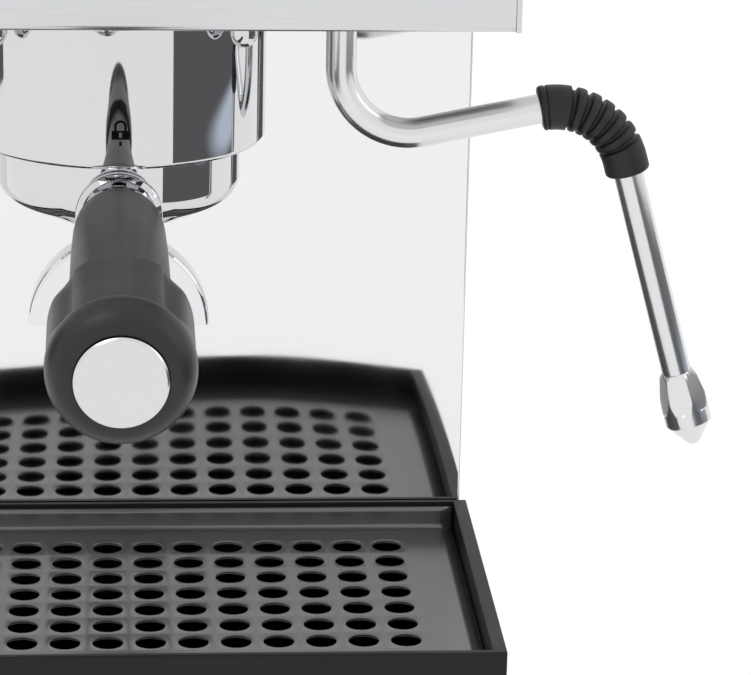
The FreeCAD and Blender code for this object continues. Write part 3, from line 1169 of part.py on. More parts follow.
doc.recompute()
check_document()
os.makedirs("parts", exist_ok=True)
for node in nodes:
    node.Shape.exportStep(os.path.join("parts", node.Label + ".step"))
print(len(nodes), "sub-parts written")
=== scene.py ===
import json
import math

import bpy
from mathutils import Matrix, Vector


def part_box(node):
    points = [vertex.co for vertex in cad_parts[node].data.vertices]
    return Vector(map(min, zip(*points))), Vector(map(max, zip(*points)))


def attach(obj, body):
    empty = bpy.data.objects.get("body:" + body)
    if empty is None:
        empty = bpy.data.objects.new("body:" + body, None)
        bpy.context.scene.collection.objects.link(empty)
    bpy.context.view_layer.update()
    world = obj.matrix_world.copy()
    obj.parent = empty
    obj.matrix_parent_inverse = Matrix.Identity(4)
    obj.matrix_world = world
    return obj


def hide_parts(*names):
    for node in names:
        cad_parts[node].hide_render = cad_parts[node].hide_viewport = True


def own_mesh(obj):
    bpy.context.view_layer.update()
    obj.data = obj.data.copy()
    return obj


MM = 0.001
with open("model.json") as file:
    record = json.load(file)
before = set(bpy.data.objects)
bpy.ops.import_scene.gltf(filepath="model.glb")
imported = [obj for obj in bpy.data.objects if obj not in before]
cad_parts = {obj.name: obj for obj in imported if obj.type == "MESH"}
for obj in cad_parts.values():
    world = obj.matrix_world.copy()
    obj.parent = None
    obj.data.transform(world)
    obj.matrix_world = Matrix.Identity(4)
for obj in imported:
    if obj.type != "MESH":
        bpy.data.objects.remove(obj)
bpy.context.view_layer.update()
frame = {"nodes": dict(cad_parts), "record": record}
nodes = frame["nodes"]


def corners(node):
    """A CAD node's lowest and highest corners in millimetres."""
    low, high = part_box(node)
    return low / MM, high / MM


# ------------------------------------------------------------ places read from the frame, in millimetres

cover_low, cover_high = corners("group_cover")
GROUP = (cover_low + cover_high) / 2
COVER_RADIUS = (cover_high.x - cover_low.x) / 2
holder_low, holder_high = corners("portafilter_body")
spout_low, spout_high = corners("spout")
grid_low, grid_high = corners("drip_grid")
joints = {joint["name"]: joint for joint in frame["record"]["behaviour"]["joints"]}

# The handle leaves the ring at HANDLE_START; GRIP_START, NECK_END and GRIP_END are distances along it.
HANDLE_TILT = math.radians(2)
HANDLE_START = Vector((GROUP.x, GROUP.y - 35, 187))
NECK_END, GRIP_START, GRIP_END = 86.0, 84.0, 133.0
BULB_RADIUS, GRIP_TURN = 19.2, math.radians(3)

WAND_X, WAND_Y = (number / MM for number in joints["wand_swivel"]["pos_m"][:2])
TUBE_RADIUS, TUBE_BORE, WAND_BENDS = 4.4, 3, (20, 21.8)

# A ring of a solid that closes on its axis keeps this small radius, so that no points fall together.
AXIS_RADIUS = 0.02


# ------------------------------------------------------------ materials

class Paint:
    """A node material built round one Principled shader. Patterns use the object's own metres."""

    def __init__(self, name, color, **sockets):
        self.material = bpy.data.materials.new(name)
        self.material.use_nodes = True
        self.tree = self.material.node_tree
        self.shader = self.tree.nodes["Principled BSDF"]
        self.color = (*color, 1.0)
        self.shader.inputs["Base Color"].default_value = self.color
        for socket, number in sockets.items():
            self.shader.inputs[socket.replace("_", " ")].default_value = number
        self.height = None

    def add(self, kind, **settings):
        """A new node of a kind, with some of its properties set."""
        node = self.tree.nodes.new(kind)
        for name, setting in settings.items():
            setattr(node, name, setting)
        return node

    def link(self, source, target):
        """Joins an output to an input."""
        self.tree.links.new(source, target)

    def noise(self, scale, stretch=(1, 1, 1), detail=3.0, roughness=0.5):
        """A grey noise about 1/scale metres fine, stretched along an axis where the factor is small."""
        place = self.add("ShaderNodeTexCoord")
        mapping = self.add("ShaderNodeMapping")
        mapping.inputs["Scale"].default_value = stretch
        texture = self.add("ShaderNodeTexNoise")
        texture.inputs["Scale"].default_value = scale
        texture.inputs["Detail"].default_value = detail
        texture.inputs["Roughness"].default_value = roughness
        self.link(place.outputs["Object"], mapping.inputs["Vector"])
        self.link(mapping.outputs["Vector"], texture.inputs["Vector"])
        return texture.outputs["Fac"]

    def spread(self, source, low, high, start=0.3, end=0.7):
        """Maps a grey value onto low to high."""
        ramp = self.add("ShaderNodeMapRange")
        numbers = {"From Min": start, "From Max": end, "To Min": low, "To Max": high}
        for socket, number in numbers.items():
            ramp.inputs[socket].default_value = number
        self.link(source, ramp.inputs["Value"])
        return ramp.outputs["Result"]

    def vary_roughness(self, source, low, high):
        """Lets the roughness follow a grey value."""
        self.link(self.spread(source, low, high), self.shader.inputs["Roughness"])
        return self

    def vary_color(self, source, other):
        """Mixes towards another colour where the source is bright."""
        mix = self.add("ShaderNodeMix", data_type="RGBA")
        mix.inputs["A"].default_value = self.color
        mix.inputs["B"].default_value = (*other, 1.0)
        self.link(self.spread(source, 0, 1), mix.inputs["Factor"])
        self.link(mix.outputs["Result"], self.shader.inputs["Base Color"])
        return self

    def bump(self, source, distance, strength=1.0):
        """Adds a height pattern of a depth in metres on top of any earlier one."""
        node = self.add("ShaderNodeBump")
        node.inputs["Strength"].default_value = strength
        node.inputs["Distance"].default_value = distance
        self.link(source, node.inputs["Height"])
        if self.height is not None:
            self.link(self.height, node.inputs["Normal"])
        self.height = node.outputs["Normal"]
        self.link(self.height, self.shader.inputs["Normal"])
        return self


def brushed(name, color, along, rough, depth, metallic):
    """Satin sheet steel with fine brushing along one axis and slow clouds in the roughness."""
    line_scale, line_stretch, cloud_scale, line_shade = 2600, 0.02, 14, 0.94
    stretch = tuple(line_stretch if axis == along else 1.0 for axis in "xyz")
    paint = Paint(name, color, Metallic=metallic, Roughness=rough[0])
    lines = paint.noise(line_scale, stretch, detail=2)
    paint.vary_roughness(paint.noise(cloud_scale, detail=4), *rough)
    paint.vary_color(lines, tuple(c * line_shade for c in color))
    return paint.bump(lines, depth).material


def hand_marks(paint, rough):
    """Faint wiping marks that change the roughness of bright metal."""
    paint.vary_roughness(paint.noise(38, detail=6, roughness=0.62), *rough)


def polished(name, color, rough):
    """Bright metal with hand marks and a hardly visible grain."""
    paint = Paint(name, color, Metallic=1.0, Roughness=rough[0])
    hand_marks(paint, rough)
    return paint.bump(paint.noise(900, detail=2), 6e-8).material


def moulded(name, color, rough, grain, depth, specular):
    """Moulded plastic with a fine spark-eroded grain and slight shade changes."""
    patch_scale, shade_scale, shade, grain_strength = 45, 20, 1.25, 0.6
    paint = Paint(name, color, Roughness=rough[0], Specular_IOR_Level=specular)
    fine = paint.noise(grain, detail=2)
    paint.vary_roughness(paint.noise(patch_scale, detail=4), *rough)
    paint.vary_color(paint.noise(shade_scale, detail=5), tuple(c * shade for c in color))
    return paint.bump(fine, depth, grain_strength).material


def make_mirror_steel():
    """Mirror sheet with a slow bow above the grid: a height that rises in z and from both sides."""
    # Axis, and where the rise starts and ends along it in metres.
    rises = (("Z", 0.062, 0.150), ("X", -0.09, 0.045), ("X", 0.125, 0.045))
    bow_height, rough = 1.6e-3, (0.03, 0.06)
    paint = Paint("mirror_steel", (0.79, 0.795, 0.80), Metallic=1.0, Roughness=rough[0])
    hand_marks(paint, rough)
    place = paint.add("ShaderNodeTexCoord")
    axes = paint.add("ShaderNodeSeparateXYZ")
    paint.link(place.outputs["Object"], axes.inputs["Vector"])
    height = None
    for axis, start, end in rises:
        rise = paint.add("ShaderNodeMapRange", interpolation_type="SMOOTHSTEP")
        rise.inputs["From Min"].default_value = start
        rise.inputs["From Max"].default_value = end
        paint.link(axes.outputs[axis], rise.inputs["Value"])
        if height is None:
            height = rise.outputs["Result"]
            continue
        product = paint.add("ShaderNodeMath", operation="MULTIPLY")
        paint.link(height, product.inputs[0])
        paint.link(rise.outputs["Result"], product.inputs[1])
        height = product.outputs["Value"]
    return paint.bump(height, bow_height).material


def clear(name, color, transmission, index, rough, grain, marks):
    """Glass or clear plastic.

    The roughness is a plain value and a range, the grain a scale, a detail and a depth, and the marks that
    vary the roughness a scale and a detail.
    """
    start, low, high = rough
    paint = Paint(name, color, Roughness=start, IOR=index, Transmission_Weight=transmission)
    paint.bump(paint.noise(grain[0], detail=grain[1]), grain[2])
    return paint.vary_roughness(paint.noise(marks[0], detail=marks[1]), low, high).material


# Colour, axis of the brushing, range of the roughness, depth of the lines in metres, metallic.
BRUSHED = {
    "front_steel": ((0.65, 0.655, 0.67), "x", (0.22, 0.30), 6e-7, 1.0),
    "side_steel": ((0.66, 0.66, 0.67), "z", (0.30, 0.40), 2e-6, 1.0),
    "flat_steel": ((0.66, 0.66, 0.67), "x", (0.30, 0.40), 2e-6, 1.0),
    "grid_steel": ((0.155, 0.157, 0.162), "x", (0.20, 0.27), 3e-7, 0.6),
    "bright_steel": ((0.62, 0.62, 0.64), "z", (0.18, 0.28), 1e-6, 1.0),
}

# Colour, range of the roughness.
POLISHED = {
    "chrome": ((0.64, 0.645, 0.655), (0.02, 0.045)),
    "spout_steel": ((0.74, 0.745, 0.755), (0.03, 0.06)),
    "wand_steel": ((0.70, 0.705, 0.715), (0.17, 0.23)),
    "disc_steel": ((0.655, 0.66, 0.67), (0.16, 0.24)),
    "brass": ((0.60, 0.44, 0.21), (0.24, 0.36)),
}

# Colour, range of the roughness, scale of the grain, its depth in metres, specular level.
MOULDED = {
    "tray_plastic": ((0.006, 0.006, 0.0063), (0.38, 0.48), 1500, 1.2e-5, 0.26),
    "black_plastic": ((0.010, 0.010, 0.0105), (0.32, 0.42), 1500, 1.2e-5, 0.4),
    "grip_plastic": ((0.013, 0.013, 0.0135), (0.34, 0.42), 2200, 6e-6, 0.36),
    "rubber": ((0.010, 0.0105, 0.0115), (0.42, 0.54), 1800, 1.2e-5, 0.35),
    "silicone": ((0.62, 0.62, 0.58), (0.35, 0.5), 600, 8e-6, 0.5),
    "printed_ink": ((0.0015, 0.0015, 0.0015), (0.5, 0.6), 1200, 1e-6, 0.05),
    "dial_paper": ((0.78, 0.78, 0.75), (0.5, 0.6), 900, 2e-6, 0.5),
}

# Key, name, colour, transmission, refractive index, roughness, grain, marks.
CLEAR = (
    ("lamp_red", "lamp_red", (0.75, 0.05, 0.02), 0.55, 1.49, (0.12, 0.08, 0.18), (500, 1, 1e-5), (60, 3)),
    ("glass", "gauge_window", (0.97, 0.98, 0.98), 1.0, 1.5, (0.02, 0.01, 0.04), (40, 1, 2e-6), (60, 3)),
    ("tank_clear", "tank_clear", (0.88, 0.93, 0.95), 0.9, 1.49, (0.08, 0.06, 0.14), (25, 2, 3e-5), (30, 4)),
)


def make_materials():
    """Every material of the part, by the name that the pieces ask for."""
    looks = {"mirror_steel": make_mirror_steel()}
    for maker, table in ((brushed, BRUSHED), (polished, POLISHED), (moulded, MOULDED)):
        for name, settings in table.items():
            looks[name] = maker(name, *settings)
    for key, name, *settings in CLEAR:
        looks[key] = clear(name, *settings)
    return looks


LOOKS = make_materials()


# ------------------------------------------------------------ mesh helpers

def finish_mesh(name, vertices, faces, body, look, sharp=32):
    """A smooth-shaded piece from millimetre points, riding on a CAD body."""
    mesh = bpy.data.meshes.new(name)
    mesh.from_pydata([Vector(v) * MM for v in vertices], [], faces)
    mesh.validate()
    mesh.materials.append(LOOKS[look])
    mesh.shade_smooth()
    mesh.set_sharp_from_angle(angle=math.radians(sharp))
    piece = bpy.data.objects.new(name, mesh)
    bpy.context.scene.collection.objects.link(piece)
    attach(piece, body)
    return piece


def rounded(points, steps):
    """A profile with rounded corners: each point is (r, z), or (r, z, radius) where it is rounded."""
    longest_share = 0.49
    result = []
    for k, point in enumerate(points):
        here = Vector(point[:2])
        if len(point) < 3 or k in (0, len(points) - 1):
            result.append(tuple(here))
            continue
        before = Vector(points[k - 1][:2]) - here
        after = Vector(points[k + 1][:2]) - here
        half = before.angle(after) / 2
        reach = min(point[2] / math.tan(half), before.length * longest_share, after.length * longest_share)
        radius = reach * math.tan(half)
        centre = here + (before.normalized() + after.normalized()).normalized() * (radius / math.sin(half))
        start = here + before.normalized() * reach
        end = here + after.normalized() * reach
        a = math.atan2(start.y - centre.y, start.x - centre.x)
        b = math.atan2(end.y - centre.y, end.x - centre.x)
        turn = (b - a + math.pi) % (2 * math.pi) - math.pi
        for j in range(steps + 1):
            angle = a + turn * j / steps
            result.append((centre.x + radius * math.cos(angle), centre.y + radius * math.sin(angle)))
    return result


def skin(rings, closed_ring=True, caps=False, loop=False):
    """Points and faces that join rings of equal length, with caps or a loop back to the first ring."""
    count = len(rings[0])
    vertices = [point for ring in rings for point in ring]
    faces = []
    spans = len(rings) if loop else len(rings) - 1
    for j in range(spans):
        a, b = j * count, ((j + 1) % len(rings)) * count
        for k in range(count if closed_ring else count - 1):
            n = (k + 1) % count
            faces.append((a + k, a + n, b + n, b + k))
    if caps:
        last = (len(rings) - 1) * count
        faces.append(tuple(reversed(range(count))))
        faces.append(tuple(range(last, last + count)))
    return vertices, faces


def add_solid(vertices, faces, points, sides):
    """Adds another solid's points and faces to a mesh."""
    start = len(vertices)
    vertices.extend(points)
    faces.extend(tuple(start + i for i in face) for face in sides)


def full_turn(count):
    """Equal steps round a circle, in radians."""
    return [2 * math.pi * k / count for k in range(count)]


def polar(r, angle, z):
    """A point at a radius and an angle about the z axis."""
    return Vector((r * math.cos(angle), r * math.sin(angle), z))


def circle(place, radius, z, count):
    """A ring of points about a place's z axis."""
    radius = max(radius, AXIS_RADIUS)
    return [place @ polar(radius, a, z) for a in full_turn(count)]


def to_hexagon(flat, angle):
    """Distance from the middle of a hexagon to its edge at an angle; flat is the shortest such distance."""
    sixth = math.pi / 3
    return flat / math.cos((angle + sixth / 2) % sixth - sixth / 2)


def turned(profile, place, count, loop=False):
    """Points and faces of a turned solid. The profile runs counter-clockwise with r to the right."""
    return skin([circle(place, r, z, count) for r, z in profile], caps=not loop, loop=loop)


def group_place():
    """Millimetre frame of the group: its upright axis, at the height of the table."""
    return Matrix.Translation((GROUP.x, GROUP.y, 0))


def handle_place():
    """Millimetre frame of the handle: z runs outwards along it, y is up."""
    return Matrix.Translation(HANDLE_START) @ Matrix.Rotation(math.pi / 2 + HANDLE_TILT, 4, "X")


def bend_points(points, radii, step=0.6, straight=2.4):
    """Points along straight runs joined by tangent arcs, with the heading at each."""
    path = []
    last = points[0]

    def run(start, end):
        heading = (end - start).normalized()
        count = max(2, int((end - start).length / straight))
        for k in range(count):
            path.append((start + (end - start) * k / count, heading))

    for k, radius in enumerate(radii, start=1):
        before = (points[k - 1] - points[k]).normalized()
        after = (points[k + 1] - points[k]).normalized()
        half = before.angle(after) / 2
        reach = radius / math.tan(half)
        centre = points[k] + (before + after).normalized() * radius / math.sin(half)
        start = points[k] + before * reach
        run(last, start)
        turn = math.pi - 2 * half
        axis = (-before).cross(after).normalized()
        count = max(6, int(turn * radius / step))
        for j in range(count):
            spin = Matrix.Rotation(turn * j / count, 3, axis)
            path.append((centre + spin @ (start - centre), spin @ -before))
        last = points[k] + after * reach
    run(last, points[-1])
    path.append((points[-1], (points[-1] - last).normalized()))
    return path


def ring_about(point, heading, radius, count):
    """A circle round a path that stays in the plane of the wand."""
    side = Vector((0, 1, 0))
    up = heading.cross(side).normalized()
    return [point + side * (radius * math.cos(a)) + up * (radius * math.sin(a)) for a in full_turn(count)]


# ------------------------------------------------------------ the group

def make_cover():
    """Chrome cover round the group: a bright ring with a rolled lower edge."""
    low, high, outer, wall, count = cover_low.z, cover_high.z, COVER_RADIUS, 1.2, 192
    inner = outer - wall
    profile = rounded([(inner, high), (inner, low, 0.2), (outer - 0.75, low, 0.6), (outer, low + 0.95, 1.3),
                       (outer, high)], 8)
    vertices, faces = turned(profile, group_place(), count, loop=True)
    piece = finish_mesh("group_cover_chrome", vertices, faces, "chassis", "chrome", 40)
    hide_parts("group_cover")


def make_holder():
    """Portafilter ring with its shallow cone, spout boss and the two locking lugs inside the group."""
    rim, base, floor, well, count = holder_high.z, 189.5, holder_low.z, 179, 192
    outer, wall, boss, bore, bend, cone = 35.1, 4, 12, 7, 7, 25
    low_corner = base - bend * math.tan(math.radians(45 - cone / 2))
    cone_low = low_corner - (outer - boss) * math.tan(math.radians(cone))
    profile = rounded([(bore, floor), (boss, floor, 0.8), (boss, cone_low, 1.5), (outer, low_corner, bend),
                       (outer, rim, 0.5), (outer - wall, rim, 0.5), (outer - wall, base + 2, 2),
                       (boss, well), (bore, well)], 8)
    place = group_place()
    vertices, faces = turned(profile, place, count, loop=True)
    lug_angle, steps = math.radians(20), 12
    lug_root, lug_end, lug_low, lug_high = outer - 0.5, 39, 215, 221
    lug = ((lug_root, lug_low), (lug_end, lug_low), (lug_end, lug_high), (lug_root, lug_high))
    for angle in (0, math.pi):
        arc = [angle + lug_angle * (2 * k / steps - 1) for k in range(steps + 1)]
        rings = [[place @ polar(r, a, z) for a in arc] for r, z in lug]
        points, sides = skin(rings, closed_ring=False, loop=True)
        first, last = [len(arc) * k for k in range(4)], [len(arc) * k + steps for k in reversed(range(4))]
        add_solid(vertices, faces, points, sides + [tuple(first), tuple(last)])
    piece = finish_mesh("portafilter_ring", vertices, faces, "portafilter", "chrome")
    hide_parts("portafilter_body")


def make_cap_nuts():
    """Acorn nuts: washer, hexagon with turned corners, and dome."""
    low, high = corners("cap_nuts")
    washer_radius, flat, dome_radius, dome_start, dome_height, count = 5.6, 4.0, 3.9, -7, 4, 72
    reach = (high.x - low.x) / 2 - washer_radius
    hexagon = ((AXIS_RADIUS, -1), (4.3, -1), (4.6, -1.4), (4.6, -4.4), (4.2, -5.2))
    dome = [(dome_radius, -5.2)]
    dome += [(dome_radius * math.cos(a), dome_start - dome_height * math.sin(a))
             for a in (math.pi / 2 * k / 12 for k in range(13))]
    washer = rounded([(0, 0), (washer_radius, 0, 0.25), (washer_radius, -1, 0.25), (0, -1)], 3)
    vertices, faces = [], []
    for side in (-1, 1):
        for end in (-1, 1):
            place = Matrix.Translation((GROUP.x + side * reach, GROUP.y + end * reach, cover_high.z))
            rings = [[place @ polar(min(across, to_hexagon(flat, a)), a, z) for a in full_turn(count)]
                     for across, z in hexagon]
            rings += [circle(place, r, z, count) for r, z in dome]
            add_solid(vertices, faces, *turned(washer, place, count))
            add_solid(vertices, faces, *skin(rings, caps=True))
    piece = finish_mesh("acorn_nuts", vertices, faces, "chassis", "chrome", 28)
    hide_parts("cap_nuts")


def make_padlock():
    """Printed padlock with a tick below it: the locked position of the handle."""
    lift = 0.06
    x, z = GROUP.x + 0.4, 211.6
    half_width, half_height, columns = 2.45, 1.28, 6
    keyhole, keyhole_height = 0.42, 0.75
    bow_outer, bow_inner, bow_top = 1.75, 1.05, z + half_height + 1.25
    tick_half, tick_length, tick_top = 0.35, 1.25, z - half_height - 0.55
    vertices, faces = [], []

    def patch(outline):
        start = len(vertices)
        for px, pz in outline:
            angle, r = (px - GROUP.x) / COVER_RADIUS, COVER_RADIUS + lift
            vertices.append(Vector((GROUP.x + r * math.sin(angle), GROUP.y - r * math.cos(angle), pz)))
        faces.append(tuple(range(start, start + len(outline))))

    def box(left, low, right, high):
        patch([(left, low), (right, low), (right, high), (left, high)])

    for k in range(columns):
        left = x - half_width + k * half_width / 3
        right = left + half_width / 3
        if k not in (2, 3):
            box(left, z - half_height, right, z + half_height)
            continue
        box(left, z - half_height, right, z - keyhole_height)
        box(left, z + keyhole_height, right, z + half_height)
        if k == 2:
            box(left, z - keyhole_height, left + (half_width / 3 - keyhole), z + keyhole_height)
        else:
            box(left + keyhole, z - keyhole_height, right, z + keyhole_height)
    for low, high in ((-bow_outer, -bow_inner), (bow_inner, bow_outer)):
        box(x + low, z + half_height, x + high, bow_top)
    bow = [math.pi * k / 14 for k in range(15)]
    for a, b in zip(bow, bow[1:]):
        patch([(x + r * math.cos(angle), bow_top + r * math.sin(angle))
               for r, angle in ((bow_inner, a), (bow_outer, a), (bow_outer, b), (bow_inner, b))])
    box(x - tick_half, tick_top - tick_length, x + tick_half, tick_top)
    finish_mesh("padlock_print", vertices, faces, "chassis", "printed_ink")


def make_spout():
    """Twin spout: a half ring of hollow box section with softened edges, and a stem."""
    outer = (spout_high.x - spout_low.x) / 2
    inner, depth, steps = outer - 12, 5.25, 96
    wide_share, deep_share = 0.68, 0.66
    middle = (inner + outer) / 2
    section = rounded([(middle, -depth), (outer, -depth, 1.6), (outer, depth, 1.6), (inner, depth, 0.8),
                       (inner, -depth, 0.8), (middle, -depth)], 6)[:-1]
    hollow = [(middle + (r - middle) * wide_share, y * deep_share) for r, y in section]
    centre = Vector((GROUP.x, GROUP.y, spout_low.z))

    def sweep(profile):
        return [[centre + Vector((r * math.cos(a), y, r * math.sin(a))) for r, y in profile]
                for a in (math.pi * k / steps for k in range(steps + 1))]

    vertices, faces = skin(sweep(section) + sweep(hollow)[::-1], loop=True)
    stem = [(0, outer - 2.5), (6.9, outer - 2.5), (6.9, outer + 8)]
    add_solid(vertices, faces, *turned(stem, Matrix.Translation(centre), 64))
    piece = finish_mesh("twin_spout", vertices, faces, "portafilter", "spout_steel", 40)
    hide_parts("spout")


# ------------------------------------------------------------ the handle

def smooth_step(t):
    """Rises smoothly from 0 to 1 as t does."""
    t = min(1.0, max(0.0, t))
    return t * t * (3 - 2 * t)


def blend(a, b, t):
    """The number a share t of the way from a to b."""
    return a + (b - a) * t


def turned_on_handle(name, profile, count, look, sharp):
    """A turned piece on the handle's axis."""
    vertices, faces = turned(profile, handle_place(), count)
    return finish_mesh(name, vertices, faces, "portafilter", look, sharp)


def make_ferrule():
    """Chrome collar: a bead against the ring and a slightly waisted barrel."""
    profile = rounded([(0, 0.2), (11, 0.2), (12.2, 0.5, 0.6), (12.3, 2.4, 0.9), (10.6, 3.8, 0.7),
                       (9.7, 7.6, 9), (11.1, 13, 0.3), (0, 13)], 8)
    piece = turned_on_handle("ferrule", profile, 144, "chrome", 50)
    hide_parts("portafilter_ferrule")


def make_neck():
    """Moulded neck of the handle, rounded where it leaves the ferrule."""
    profile = rounded([(0, 13.1), (11.0, 13.1, 0.9), (12.3, 15.6, 3), (12.8, 22, 20), (13.2, 36, 40),
                       (13.45, 60), (13.6, NECK_END), (0, NECK_END)], 6)
    piece = turned_on_handle("handle_neck", profile, 144, "grip_plastic", 50)
    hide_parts("handle_core")


def make_end_disc():
    """Bright steel disc let into the end of the grip, with a bevelled rim."""
    end = GRIP_END
    profile = rounded([(0, end - 1.45), (11.95, end - 1.45), (11.95, end + 0.85, 0.2),
                       (11.35, end + 1.45, 0.25), (0, end + 1.5)], 4)
    piece = turned_on_handle("end_disc", profile, 160, "disc_steel", 20)
    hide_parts("handle_end_disc")


def grip_radius(angle, s):
    """Radius of the grip at an angle from the top and a distance along the handle."""
    pad_radius, pad_rise, pad_groove, pad_edge = 16.6, 0.5, 0.4, 41.5
    side_start, side_full, side_flat, side_edge = 15.4, 18.9, 16.3, 44
    bulb_start, bulb_length = 116.5, 7.5
    fold = abs((math.degrees(angle) + 180) % 360 - 180)
    fold = min(fold, 180 - fold)
    pad = pad_radius + pad_rise * smooth_step((fold - 14) / 27)
    pad -= pad_groove * smooth_step((13 - fold) / 2.5)
    full = blend(side_start, side_full, math.sqrt(smooth_step((s - GRIP_START + 1.5) / 13)))
    side = blend(min(side_flat, full), full, smooth_step((fold - side_edge) / 22))
    body = blend(pad, side, smooth_step((fold - pad_edge) / 3.5))
    return blend(body, BULB_RADIUS, smooth_step((s - bulb_start) / bulb_length))


def make_grip():
    """Grip: recessed finger pads above and below, full sides, and a round bulb with a rolled end."""
    place = handle_place() @ Matrix.Rotation(GRIP_TURN, 4, "Z")
    count, roll, roll_length, roll_steps, body_steps = 360, 7.0, 9.0, 16, 72
    first_radius, body_start = 13.2, 0.6
    start_edge = ((0.0, 0.965), (0.12, 0.985), (0.4, 0.998))
    disc_seat = ((12.45, 0), (12.15, -0.12), (12.03, -0.4), (12.03, -1.5), (AXIS_RADIUS, -1.5))

    def ring(s, radius):
        """A ring whose radius is a function of the angle from the top."""
        return [place @ Vector((r * math.sin(a), r * math.cos(a), s))
                for a, r in ((a, radius(a)) for a in full_turn(count))]

    rings = [ring(GRIP_START, lambda a: first_radius)]
    for lift, shrink in start_edge:
        rings.append(ring(GRIP_START + lift, lambda a: grip_radius(a, GRIP_START + lift) * shrink))
    for k in range(body_steps + 1):
        s = blend(GRIP_START + body_start, GRIP_END - roll_length, k / body_steps)
        rings.append(ring(s, lambda a: grip_radius(a, s)))
    for k in range(1, roll_steps + 1):
        turn = math.pi / 2 * k / roll_steps
        rings.append(ring(GRIP_END - roll_length * (1 - math.sin(turn)),
                          lambda a: BULB_RADIUS - roll * (1 - math.cos(turn))))
    for r, z in disc_seat:
        rings.append(ring(GRIP_END + z, lambda a: r))
    vertices, faces = skin(rings, caps=True)
    piece = finish_mesh("handle_grip_shell", vertices, faces, "portafilter", "grip_plastic",
                        20)
    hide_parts("handle_grip")


# ------------------------------------------------------------ the steam wand

def wand_route():
    """The wand's top, low corner, outer corner and tube end, and the heading of its last run."""
    rise, lean = math.radians(11.5), math.radians(15.7)
    low_height, cross_run, last_run = 197.7, 79.9, 97
    top = Vector((WAND_X, WAND_Y, corners("steam_tube")[1].z))
    low = Vector((WAND_X, WAND_Y, low_height))
    bend = low + Vector((math.cos(rise), 0, math.sin(rise))) * cross_run
    out = Vector((math.sin(lean), 0, -math.cos(lean)))
    return [top, low, bend, bend + out * last_run], out


def make_tube():
    """Polished steam tube, hollow, in one bend plane."""
    count = 56
    points, _ = wand_route()
    path = bend_points(points, WAND_BENDS)
    outer = [ring_about(p, h, TUBE_RADIUS, count) for p, h in path]
    inner = [ring_about(p, h, TUBE_BORE, count) for p, h in path]
    vertices, faces = skin(outer + inner[::-1], loop=True)
    piece = finish_mesh("wand_tube", vertices, faces, "wand", "wand_steel", 40)
    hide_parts("steam_tube")


def make_sleeve():
    """Rubber sleeve on the bend: a cuff at each end and round ribs between narrower grooves."""
    count, step, upper_run, lower_run, bore_skip, bore_gap = 72, 0.12, 20.6, 24, 8, 0.02
    first, last, ribs, groove_share = 8.2, 28.1, 5, 0.45
    full, groove_depth, soft, rib_crown = 6.6, 1.2, 1.1, 0.12
    line_start, line_width, line_depth = 1.7, 0.6, 0.3
    points, out = wand_route()
    into = (points[1] - points[2]).normalized()
    run = [points[2] + into * upper_run, points[2], points[2] + out * lower_run]
    path = bend_points(run, WAND_BENDS[1:], step, step)
    lengths = [0.0]
    for (a, _), (b, _) in zip(path, path[1:]):
        lengths.append(lengths[-1] + (b - a).length)
    total = lengths[-1]
    pitch = (last - first) / (ribs + groove_share)

    def radius(d):
        near = min(d, total - d)
        if near < soft:
            return full - soft + math.sqrt(soft ** 2 - (soft - near) ** 2)
        if first < d < last:
            t = (d - first) / pitch % 1
            if t < groove_share:
                return full - groove_depth * math.sin(math.pi * t / groove_share) ** 0.5
            return full - rib_crown * abs(2 * (t - groove_share) / (1 - groove_share) - 1) ** 3
        if line_start < d < line_start + line_width:
            return full - line_depth * math.sin(math.pi * (d - line_start) / line_width)
        return full

    outer = [ring_about(p, h, radius(d), count) for (p, h), d in zip(path, lengths)]
    bore = [ring_about(p, h, TUBE_RADIUS + bore_gap, count) for p, h in path[:0:-bore_skip] + path[:1]]
    vertices, faces = skin(outer + bore, loop=True)
    piece = finish_mesh("wand_sleeve", vertices, faces, "wand", "rubber", 38)
    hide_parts("rubber_sleeve")


def make_tip():
    """Screwed steam tip: a hexagonal flare clipped round, a short band and a blunt cone with a jet hole."""
    points, out = wand_route()
    overlap, wide, length, jet, count = 9, 7.0, 23.4, 0.8, 144
    flare_start, flare_slope, flat_start, flat_slope = 4.75, 0.6, 4.6, 0.179
    flat_turn, no_flats = math.radians(13.9), 99
    place = Matrix.Translation(points[3] - out * overlap) @ out.to_track_quat("Z", "Y").to_matrix().to_4x4()
    neck = [(4.42, overlap), (4.42, 0.1), (4.6, 0)]
    cone = [(wide, 12.3), (wide, 16.2), (6.9, 16.6), (6.5, 17.1), (2.0, 23.0), (1.6, length),
            (0.85, length), (jet, 23), (jet, overlap)]
    profile = [(r, z, no_flats) for r, z in neck]
    profile += [(min(wide, flare_start + flare_slope * z), z, flat_start + flat_slope * z)
                for z in (0.3, 1.2, 2.4, 4, 6, 8, 9, 10, 11, 12)]
    profile += [(r, z, no_flats) for r, z in cone]
    rings = [[place @ polar(min(r, to_hexagon(flats, a - flat_turn)), a, z) for a in full_turn(count)]
             for r, z, flats in profile]
    vertices, faces = skin(rings, loop=True)
    piece = finish_mesh("wand_tip", vertices, faces, "wand", "wand_steel", 13)
    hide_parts("steam_tip")


# ------------------------------------------------------------ the cup grid

